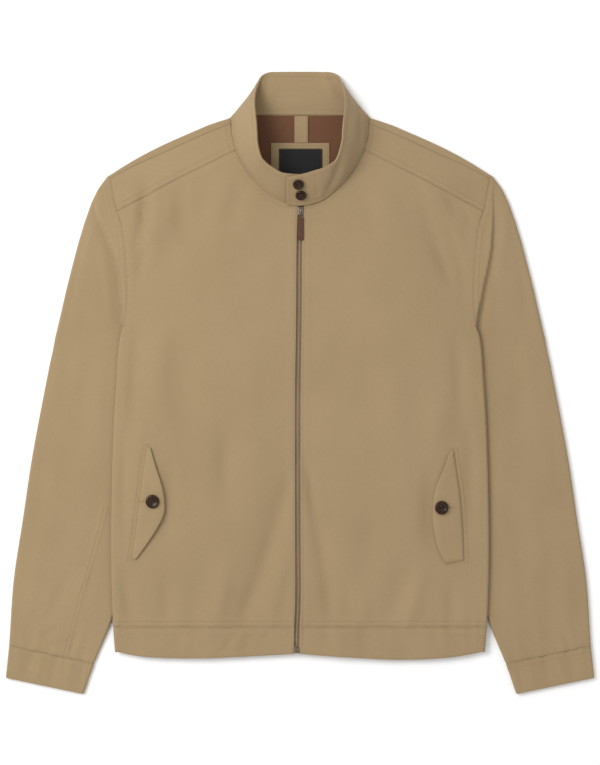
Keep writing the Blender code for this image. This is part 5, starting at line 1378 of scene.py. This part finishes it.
def polished_material(name, colour, deep, roughness, metallic, grain, coat=0.0, depth=0.00005, gloss=0.5):
    """Metal, horn or hide: a streaked colour with fine scratches and a worn gloss."""
    finish, tree, shader = new_material(name)
    place = node(tree, "ShaderNodeTexCoord")
    streak = node(tree, "ShaderNodeTexNoise", input_Vector=place.outputs["Object"], input_Scale=grain,
                  input_Detail=4.0, input_Roughness=0.6, input_Distortion=1.2)
    blend = node(tree, "ShaderNodeMapRange", input_Value=streak.outputs["Fac"], input_1=0.35, input_2=0.66)
    tone = node(tree, "ShaderNodeMix", data_type="RGBA", input_0=blend, input_6=(*deep, 1),
                input_7=(*colour, 1))
    tree.links.new(tone.outputs[2], shader.inputs["Base Color"])
    fine = node(tree, "ShaderNodeTexNoise", input_Vector=place.outputs["Object"], input_Scale=grain * 6,
                input_Detail=3.0)
    rough = node(tree, "ShaderNodeMapRange", input_Value=fine.outputs["Fac"], input_1=0.3, input_2=0.7,
                 input_3=roughness * 0.75, input_4=roughness * 1.3)
    tree.links.new(rough.outputs[0], shader.inputs["Roughness"])
    bump = node(tree, "ShaderNodeBump", input_Strength=0.4, input_Distance=depth,
                input_Height=fine.outputs["Fac"])
    tree.links.new(bump.outputs[0], shader.inputs["Normal"])
    shader.inputs["Metallic"].default_value = metallic
    shader.inputs["Coat Weight"].default_value = coat
    shader.inputs["Specular IOR Level"].default_value = gloss
    return finish


dark_metal = polished_material("dark_metal", (0.34, 0.27, 0.21), (0.09, 0.07, 0.055), 0.22, 0.95, 900.0)
tooth_finish = polished_material("zip_teeth", (0.33, 0.235, 0.145), (0.20, 0.14, 0.087), 0.42, 0.0, 700.0)
# painted highlight: the tooth heads' lighter colour stands for the light their crests catch
head_highlight_finish = polished_material("zip_tooth_heads", (0.48, 0.355, 0.235), (0.34, 0.245, 0.155), 0.42, 0.0,
                                700.0)


teeth = row_tree("row of teeth", tooth_finish, 8, 5, "Y")
heads = row_tree("row of heads", head_highlight_finish, 8, 5, "Y")
tape_y = TAPE_TOP_Y + (TAPE_END_Y - TAPE_TOP_Y) * even(150)
TAPE_COLUMNS = np.array((0.25, 1.2, 2.4, 3.4, ZIP_OPENING / 2, 7.0, 10.5, TAPE_REACH))
for side in (RIGHT, LEFT):
    tape_grid = np.zeros((len(tape_y), len(TAPE_COLUMNS), 3))
    tape_grid[..., 0] = zip_x(tape_y)[:, None] + side * TAPE_COLUMNS[None]
    tape_grid[..., 1] = tape_y[:, None]
    tape_grid[..., 2] = front_height(tape_grid[..., 0], tape_grid[..., 1]) - TAPE_DROP
    line = tape_grid[:, 1] + (side * 0.15, 0, 0.55)
    line[:, 1] += side * TOOTH_PITCH / 4
    tape_grid = turned(tape_grid, side)
    name = "zip_tape_" + SIDE_NAME[side]
    zip_tape = cloth(name + "_cloth", tape_grid, TAPE_WALL, tape_cloth, plan_uv(tape_grid))
    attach(zip_tape, "jacket")
    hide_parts(name)
    tooth_row = laid_rows("zip_teeth_" + SIDE_NAME[side], [upward(line)], teeth, TOOTH_PITCH, TOOTH_SIZE)
    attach(tooth_row, "jacket")

# where the two rows lock, the teeth's rounded heads stand a little higher; their lighter colour is a
# painted highlight on the crests that catch the light
head_z = front_height(zip_x(tape_y), tape_y) - TAPE_DROP + 0.95
head_line = np.column_stack([zip_x(tape_y), tape_y, head_z])
head_row = laid_rows("zip_tooth_heads", [upward(head_line)], heads, TOOTH_PITCH / 2, HEAD_SIZE)
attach(head_row, "jacket")


def outline_plate(name, outline, low, high, soft):
    """A flat part of dark metal with a closed outline in millimetres, its edges softened."""
    count = len(outline)
    vertices = [(x * MM, y * MM, z * MM) for z in (low, high) for x, y in outline]
    faces = [list(range(count))[::-1], [count + i for i in range(count)]]
    faces += [[i, (i + 1) % count, count + (i + 1) % count, count + i] for i in range(count)]
    mesh = bpy.data.meshes.new(name)
    mesh.from_pydata(vertices, [], faces)
    mesh.materials.append(dark_metal)
    draft = placed_object(name + "_draft", mesh)
    edge = draft.modifiers.new("edge", "BEVEL")
    edge.width, edge.segments = soft * MM, 3
    edge.limit_method, edge.angle_limit = "ANGLE", math.radians(40)
    part = made_plain(draft, name)
    part.data.shade_smooth()
    return part


def rounded_outline(width, length, corner, centre=(0.0, 0.0), narrow=0.0):
    """A rectangle with round corners, counterclockwise; narrow draws its lower end in at each side."""
    points = []
    for cx, cy, turn in ((1, 1, 0), (-1, 1, 90), (-1, -1, 180), (1, -1, 270)):
        for step in range(7):
            a = math.radians(turn + 15 * step)
            x = cx * (width / 2 - corner) + corner * math.cos(a)
            y = cy * (length / 2 - corner) + corner * math.sin(a)
            x *= 1 - narrow * (0.5 - y / length)
            points.append((centre[0] + x, centre[1] + y))
    return points


def bent_wire(name, points, thickness, finish, closed=False):
    """A round wire along points in millimetres."""
    line = bpy.data.curves.new(name, "CURVE")
    line.dimensions, line.bevel_depth, line.bevel_resolution = "3D", thickness / 2 * MM, 3
    line.use_fill_caps = True
    spline = line.splines.new("POLY")
    spline.points.add(len(points) - 1)
    for point, (x, y, z) in zip(spline.points, points):
        point.co = (x * MM, y * MM, z * MM, 1)
    spline.use_cyclic_u = closed
    line.materials.append(finish)
    draft = placed_object(name + "_draft", line)
    wire = made_plain(draft, name)
    wire.data.shade_smooth()
    return wire


def joined_piece(name, parts):
    """Parts joined into one mesh."""
    with bpy.context.temp_override(active_object=parts[0], selected_editable_objects=parts):
        bpy.ops.object.join()
    parts[0].name = parts[0].data.name = name
    return parts[0]


def sited(piece, x, y, z):
    """Moves a piece's mesh to its place in the jacket."""
    for vertex in piece.data.vertices:
        vertex.co += Vector((x, y, z)) * MM


slider_x = zip_x(SLIDER_Y)
front_at_slider = float(front_height(slider_x, SLIDER_Y))
slider_low = front_at_slider - TAPE_DROP + LAYER_GAP
slider_top = slider_low + SLIDER_HEIGHT
plate_outline = rounded_outline(SLIDER_WIDTH, SLIDER_LENGTH, 2.2, narrow=0.28)
lower_plate = outline_plate("slider_lower", plate_outline, 0.0, 0.9, 0.25)
core = outline_plate("slider_core", rounded_outline(2.2, 6.5, 1.0, (0, 2.4)), 0.8, 3.1, 0.2)
upper_plate = outline_plate("slider_upper", plate_outline, 3.0, SLIDER_HEIGHT, 0.35)
flange_outlines = [rounded_outline(0.8, 9.0, 0.39, (way * 3.35, -0.6)) for way in (-1, 1)]
flanges = [outline_plate("slider_flange", outline, 2.3, 3.2, 0.15) for outline in flange_outlines]
arch = [(0.0, 4.4 * math.cos(a), SLIDER_HEIGHT - 0.2 + 2.1 * math.sin(a))
        for a in np.linspace(0.0, math.pi, 15)]
bridge = bent_wire("slider_bridge", arch, 1.2, dark_metal)
slider = joined_piece("zip_slider_body", [lower_plate, core, upper_plate, *flanges, bridge])
sited(slider, slider_x, SLIDER_Y, slider_low)
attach(slider, "jacket")
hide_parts("zip_slider")

box_x = float(zip_x(BOX_Y))
box_low = float(front_height(box_x, BOX_Y)) - TAPE_DROP + LAYER_GAP
box_body = outline_plate("box_body", rounded_outline(BOX_WIDTH, BOX_LENGTH, 1.0), 0.0, BOX_HEIGHT, 0.45)
box_rib = outline_plate("box_rib", rounded_outline(5.4, 1.0, 0.45, (0, -1.6)), 2.8, 3.3, 0.15)
box_pin = outline_plate("box_pin", rounded_outline(1.6, 9.0, 0.7, (-1.5, 7.0)), 0.9, 2.2, 0.3)
zip_box = joined_piece("zip_box_body", [box_body, box_rib, box_pin])
sited(zip_box, box_x, BOX_Y, box_low)
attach(zip_box, "jacket")
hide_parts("zip_box")

# ---- Zip pull -----------------------------------------------------------------------------------
# A bent wire link hangs in the slider's bridge and carries a strap of brown leather, folded double
# round it and stitched along both long edges. Link and strap swing together on the bridge.

brown_leather = polished_material("brown_leather", (0.105, 0.043, 0.02), (0.05, 0.019, 0.009), 0.5, 0.0,
                                  260.0, 0.04, 0.00015, 0.3)
leather_stitches = stitch_tree("leather_thread", (0.10, 0.05, 0.03), (0.05, 0.024, 0.014))
LINK_WIRE, LINK_WIDTH, LINK_TOP_Y, LINK_LOW_Y = 1.2, 5.0, 224.6, 216.2
STRAP_STITCH, STRAP_STITCH_TOP, STRAP_STITCH_LOW = 2.1, 3.0, 1.6  # in from the sides, top and low end
hinge_z = slider_top + 1.0
pull_low = front_at_slider + 0.6
link_points = []
for x, y in rounded_outline(LINK_WIDTH - LINK_WIRE, LINK_TOP_Y - LINK_LOW_Y - LINK_WIRE, 1.3):
    share = 0.5 - y / (LINK_TOP_Y - LINK_LOW_Y)
    drop = (hinge_z - (pull_low + PULL_WALL / 2)) * smoothstep(share)
    link_points.append((slider_x + x, (LINK_TOP_Y + LINK_LOW_Y) / 2 + y, hinge_z - drop))
pull_link = bent_wire("zip_pull_wire", link_points, LINK_WIRE, dark_metal, closed=True)
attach(pull_link, "zip_pull")
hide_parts("zip_pull_link")


def strap_grid(width, length, wall):
    """A closed leather strap: rings of a flat, softly crowned section from one end to the other."""
    around = np.linspace(0, 2 * math.pi, 28, endpoint=False)
    along = np.concatenate([[-0.5, -0.497, -0.485], np.linspace(-0.46, 0.46, 24), [0.485, 0.497, 0.5]])
    rings = []
    for share in along:
        near_end = min(1.0, (0.5 - abs(share)) * length / 1.4)
        grow = math.sqrt(max(0.02, 1 - (1 - near_end) ** 2))
        half, thick = width / 2 * (0.86 + 0.14 * grow), wall / 2 * (0.35 + 0.65 * grow)
        x = half * np.sign(np.cos(around)) * np.abs(np.cos(around)) ** 0.35
        z = thick * np.sign(np.sin(around)) * np.abs(np.sin(around)) ** 0.55
        z = z * (1 - 0.16 * beside(np.abs(x) - width / 2 + 1.5, 0.6))
        rings.append(np.column_stack([x, np.full(len(x), -share * length), z + wall / 2]))
    return np.array(rings)


rings = strap_grid(PULL_WIDTH - 1.2, PULL_LENGTH, PULL_WALL)
count = rings.shape[1]
vertices = (rings.reshape(-1, 3) * MM).tolist()
after = [(c + 1) % count for c in range(count)]
last = (len(rings) - 1) * count
faces = [[low + c, low + after[c], low + count + after[c], low + count + c]
         for low in range(0, last, count) for c in range(count)]
faces += [list(range(count))[::-1], [last + c for c in range(count)]]
mesh = bpy.data.meshes.new("zip_pull_strap")
mesh.from_pydata(vertices, [], faces)
mesh.materials.append(brown_leather)
mesh.shade_smooth()
strap = placed_object("zip_pull_strap", mesh)
sited(strap, slider_x, PULL_TOP_Y - PULL_LENGTH / 2, pull_low)
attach(strap, "zip_pull")
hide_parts("zip_pull_tab")
strap_lines = []
for way in (-1, 1):
    y = np.linspace(PULL_TOP_Y - STRAP_STITCH_TOP, PULL_TOP_Y - PULL_LENGTH + STRAP_STITCH_LOW, 20)
    x = np.full(20, slider_x + way * (PULL_WIDTH / 2 - STRAP_STITCH))
    z = np.full(20, pull_low + PULL_WALL * 0.93)
    strap_lines.append(upward(np.column_stack([x, y, z])))
sew("zip_pull_stitching", strap_lines, "zip_pull", tree=leather_stitches)

# ---- Pocket flaps -------------------------------------------------------------------------------
# A shaped flap over each slanted pocket, doubled cotton, sewn along its outer edge nearer the side and
# sprung a few millimetres off the front at its free edge. A worked buttonhole takes the button.

LAY_GAP, FLAP_WALL = 0.4, 1.8
FLAP_SPRING = {RIGHT: 3.0, LEFT: 3.6}
# from the top down: the sewn edge (x, y), the free edge (x, y)
FLAP_ROWS = {
    RIGHT: (((-201.4, -84.5), (-196.9, -84.0)), ((-205.9, -112.0), (-190.1, -108.0)),
            ((-208.6, -136.0), (-181.2, -136.0)), ((-211.6, -158.0), (-178.2, -156.0)),
            ((-214.2, -178.0), (-179.6, -174.0)), ((-217.0, -200.0), (-193.0, -199.0)),
            ((-221.8, -231.0), (-216.5, -232.5))),
    LEFT: (((202.0, -88.4), (197.0, -90.0)), ((206.2, -116.0), (188.5, -113.5)),
           ((209.9, -140.0), (178.2, -138.0)), ((212.5, -166.0), (174.4, -163.0)),
           ((214.2, -190.0), (175.6, -190.0)), ((215.3, -214.0), (181.5, -217.0)),
           ((215.9, -233.6), (191.5, -237.0))),
}
FLAP_STITCH = 5.0                       # the pocket's stitches, outside the flap's sewn edge
POCKET_BUTTON = {RIGHT: (-193.4, -155.4), LEFT: (185.6, -163.4)}
# shares of the flap's width from its sewn edge
FLAP_COLUMNS = np.array((0, 0.02, 0.045, 0.08, 0.13, 0.2, 0.3, 0.44, 0.58, 0.72, 0.79, 0.86, 0.91, 0.944,
                         0.972, 0.99, 1))
# the buttonhole: its two ends, measured from the button, and half the gap between its sides
HOLE_NEAR, HOLE_FAR, HOLE_HALF = 8.5, 18.5, 0.7
pocket_stitches = stitch_tree("pocket_thread", (0.24, 0.165, 0.085), (0.17, 0.115, 0.06))


def flap_height(side, x, y, across):
    """Height of a flap's outer face; across is 0 at its sewn edge and 1 at its free edge."""
    return front_skin(x, y) + LAY_GAP + FLAP_WALL + FLAP_SPRING[side] * across


def flap_share(side, x, y):
    """How far x is across a flap at the height y: 0 at its sewn edge and 1 at its free edge."""
    rows = np.array(FLAP_ROWS[side], float)
    sewn_x, free_x = (np.interp(-y, -rows[:, i, 1], rows[:, i, 0]) for i in (0, 1))
    return (x - sewn_x) / (free_x - sewn_x)


for side in (RIGHT, LEFT):
    rows = np.array(FLAP_ROWS[side], float)
    v = edged(150, 3.5)
    sewn_line, free_line = smooth_curve(rows[:, 0], v), smooth_curve(rows[:, 1], v)
    across = FLAP_COLUMNS[None, :, None]
    plan = sewn_line[:, None] * (1 - across) + free_line[:, None] * across
    spring = np.sin(math.pi * (0.1 + 0.8 * v))[:, None]
    x, y = plan[..., 0], plan[..., 1]
    from_free, along = distance_to(free_line, x, y)
    from_sewn, _ = distance_to(sewn_line, x, y)
    height = flap_height(side, x, y, FLAP_COLUMNS[None] * spring)
    from_ends = np.minimum(distance_to(plan[0], x, y)[0], distance_to(plan[-1], x, y)[0])
    height = height + sewn_relief(from_free, along, (), 0.4, 0.15)
    height -= np.maximum(1.9 * beside(from_sewn, 1.4), 1.7 * beside(from_ends, 1.8))
    grid = np.dstack([plan, height])
    flap_grid = turned(grid, -side)
    name = "pocket_flap_" + SIDE_NAME[side]
    # painted shadow: a dark line along the flap's sewn edge, where it sinks under the front
    shade_mask = turned(4 * beside(from_sewn, 0.8), -side)
    flap = cloth(name + "_cloth", flap_grid, FLAP_WALL, khaki, plan_uv(flap_grid), shade_mask)
    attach(flap, "jacket")
    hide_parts(name)
    # the pocket's own stitches on the front, outside the sewn edge and across both ends
    outside = sewn_line + (side * FLAP_STITCH, 0)
    box = np.vstack([[free_line[0] + (0, 3)], [outside[0] + (0, 3)], outside, [outside[-1] - (0, 2.5)],
                     [free_line[-1] - (0, 2.5)]])
    flap_lines = [upward(np.column_stack([box, front_skin(box[:, 0], box[:, 1]) + 0.08]))]
    button_x, button_y = POCKET_BUTTON[side]
    hole_x = button_x + side * np.linspace(HOLE_NEAR, HOLE_FAR, 12)
    for shift in (-HOLE_HALF, HOLE_HALF):
        hole_y = np.full(12, button_y + shift)
        hole_z = flap_height(side, hole_x, hole_y, flap_share(side, hole_x, button_y))
        flap_lines.append(upward(np.column_stack([hole_x, hole_y, hole_z + 0.25])))
    sew(name + "_stitching", flap_lines, tree=pocket_stitches)

# ---- Buttons ------------------------------------------------------------------------------------
# Turned dark horn with a raised rim, a dished middle and four drilled holes, sewn on with brown
# thread: two small ones on the collar's lap and a larger one on each pocket flap.

BUTTON_THICK, HOLE_RADIUS, HOLE_PLACE = 3.0, 0.95, 0.17
BUTTON_THREAD, THREAD_APART = 0.34, 0.3
# share of the radius, share of the thickness
BUTTON_PROFILE = ((0.0, 0.60), (0.30, 0.61), (0.48, 0.66), (0.58, 0.80), (0.66, 0.93), (0.76, 1.0),
                  (0.86, 0.99), (0.94, 0.88), (0.985, 0.7), (1.0, 0.5), (0.97, 0.28), (0.88, 0.06),
                  (0.8, 0.0), (0.0, 0.0))
COLLAR_BUTTON, FLAP_BUTTON = 14.5, 18.0  # diameters
horn = polished_material("brown_horn", (0.048, 0.021, 0.008), (0.007, 0.0035, 0.0015), 0.13, 0.0, 160.0,
                         gloss=0.22)
button_thread = thread_material("button_thread", (0.06, 0.035, 0.02), (0.03, 0.018, 0.01))


def button(name, replaced, size, seat, normal, turn):
    """A horn button on its seat, facing along the normal."""
    r = size / 2
    mesh = bpy.data.meshes.new(name)
    mesh.from_pydata([(u * r * MM, 0, v * BUTTON_THICK * MM) for u, v in BUTTON_PROFILE],
                     [(i, i + 1) for i in range(len(BUTTON_PROFILE) - 1)], [])
    mesh.materials.append(horn)
    draft = placed_object(name + "_draft", mesh)
    turned = draft.modifiers.new("turn", "SCREW")
    turned.steps = turned.render_steps = 48
    turned.use_merge_vertices, turned.merge_threshold = True, 0.00001
    cutters = []
    for a in (45, 135, 225, 315):
        spot = [size * HOLE_PLACE * f(math.radians(a)) * MM for f in (math.cos, math.sin)]
        bpy.ops.mesh.primitive_cylinder_add(vertices=14, radius=HOLE_RADIUS * size / FLAP_BUTTON * MM,
                                            depth=0.01, location=(*spot, 0))
        cutters.append(bpy.context.object)
        cut = draft.modifiers.new("hole", "BOOLEAN")
        cut.object, cut.operation, cut.solver = cutters[-1], "DIFFERENCE", "EXACT"
    body = made_plain(draft, name)
    for cutter in cutters:
        bpy.data.objects.remove(cutter)
    body.data.shade_smooth()
    body.data.set_sharp_from_angle(angle=math.radians(40))
    threads = []
    spread = size * HOLE_PLACE * math.sqrt(0.5)
    for way in (-1, 1):
        for shift in (-THREAD_APART, 0.0, THREAD_APART):
            y, low = way * spread + shift, 0.35 * BUTTON_THICK
            over = [(spread * s, y, (0.60 + 0.12 * (1 - s * s)) * BUTTON_THICK)
                    for s in np.linspace(-0.9, 0.9, 7)]
            points = [(-spread, y, low), *over, (spread, y, low)]
            threads.append(bent_wire(name + "_thread", points, BUTTON_THREAD, button_thread))
    piece = joined_piece(name, [body, *threads])
    swing = Vector((0, 0, 1)).rotation_difference(normal).to_matrix().to_4x4()
    heading = Vector((math.cos(turn), math.sin(turn), 0))
    spin = Vector((1, 0, 0)).rotation_difference(heading).to_matrix().to_4x4()
    piece.data.transform(swing @ spin)
    sited(piece, *seat)
    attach(piece, "jacket")
    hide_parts(replaced)


# x, how far up the collar's lap, and how far the button has turned, in radians
for name, x, up, turn in (("collar_button_upper", -2.0, 0.735, 0.2),
                          ("collar_button_lower", 1.3, 0.385, 0.7)):
    below, above = collar_front(x, up - 0.1), collar_front(x, up + 0.1)
    normal = Vector((1, 0, 0)).cross(above - below).normalized()
    button(name + "_horn", name, COLLAR_BUTTON, collar_front(x, up) + normal * 2 * LAY_GAP, normal, turn)
for side, (x, y) in POCKET_BUTTON.items():
    def height(px, py):
        return float(flap_height(side, px, py, flap_share(side, px, y)))
    reach = 7.0                         # each way from the button, for the flap's slope below it
    slope_x = (height(x + reach, y) - height(x - reach, y)) / (2 * reach)
    slope_y = (height(x, y + reach) - height(x, y - reach)) / (2 * reach)
    normal = Vector((-slope_x, -slope_y, 1)).normalized()
    seat = Vector((x, y, height(x, y) + 2 * LAY_GAP))
    name = "pocket_button_" + SIDE_NAME[side]
    button(name + "_horn", name, FLAP_BUTTON, seat, normal, 0.4)

# ---- Floor, light and camera --------------------------------------------------------------------
# A pale sheet to lie on, one broad soft light from the upper left, and the camera straight above at
# the distance that the photograph's proportions ask for.

floor_paint, floor_tree, floor_shader = new_material("pale_floor")
floor_place = node(floor_tree, "ShaderNodeTexCoord")
floor_noise = node(floor_tree, "ShaderNodeTexNoise", input_Vector=floor_place.outputs["Object"],
                   input_Scale=3.0)
floor_tone = node(floor_tree, "ShaderNodeMix", data_type="RGBA", input_0=floor_noise.outputs["Fac"],
                  input_6=(0.95, 0.95, 0.95, 1), input_7=(0.97, 0.97, 0.97, 1))
floor_tree.links.new(floor_tone.outputs[2], floor_shader.inputs["Base Color"])
floor_shader.inputs["Roughness"].default_value = 0.9
floor_shader.inputs["Specular IOR Level"].default_value = 0.0
floor_mesh = bpy.data.meshes.new("floor")
FLOOR_HALF, FLOOR_DROP = 4.0, 0.0003
floor_mesh.from_pydata([(-FLOOR_HALF, -FLOOR_HALF, -FLOOR_DROP), (FLOOR_HALF, -FLOOR_HALF, -FLOOR_DROP),
                        (FLOOR_HALF, FLOOR_HALF, -FLOOR_DROP), (-FLOOR_HALF, FLOOR_HALF, -FLOOR_DROP)],
                       [], [(0, 1, 2, 3)])
floor_mesh.materials.append(floor_paint)
floor = placed_object("floor", floor_mesh)

world = bpy.data.worlds.new("studio")
bpy.context.scene.world = world
world.use_nodes = True
world.node_tree.nodes["Background"].inputs["Color"].default_value = (1.0, 0.995, 0.985, 1)
world.node_tree.nodes["Background"].inputs["Strength"].default_value = 0.74
LAMP_SIZE, LAMP_WATTS, LAMP_PLACE = (1.6, 1.4), 49.0, (-1.55, 0.7, 2.15)
soft_box = bpy.data.lights.new("soft_box", "AREA")
soft_box.shape, soft_box.energy = "RECTANGLE", LAMP_WATTS
soft_box.size, soft_box.size_y = LAMP_SIZE
lamp = placed_object("soft_box", soft_box)
lamp.location = LAMP_PLACE
lamp.rotation_mode = "QUATERNION"
lamp.rotation_quaternion = (Vector((0, 0, 0)) - lamp.location).to_track_quat("-Z", "Y")

CAMERA_HEIGHT, VIEW_HEIGHT, SENSOR = 3.2, 1.0098, 24.0
view = bpy.data.cameras.new("camera")
view.sensor_fit, view.sensor_height = "VERTICAL", SENSOR
view.lens = SENSOR * CAMERA_HEIGHT / VIEW_HEIGHT
camera = placed_object("camera", view)
camera.location = (0.0, 0.0007, CAMERA_HEIGHT)
bpy.context.scene.camera = camera
bpy.context.scene.view_settings.view_transform = "Standard"
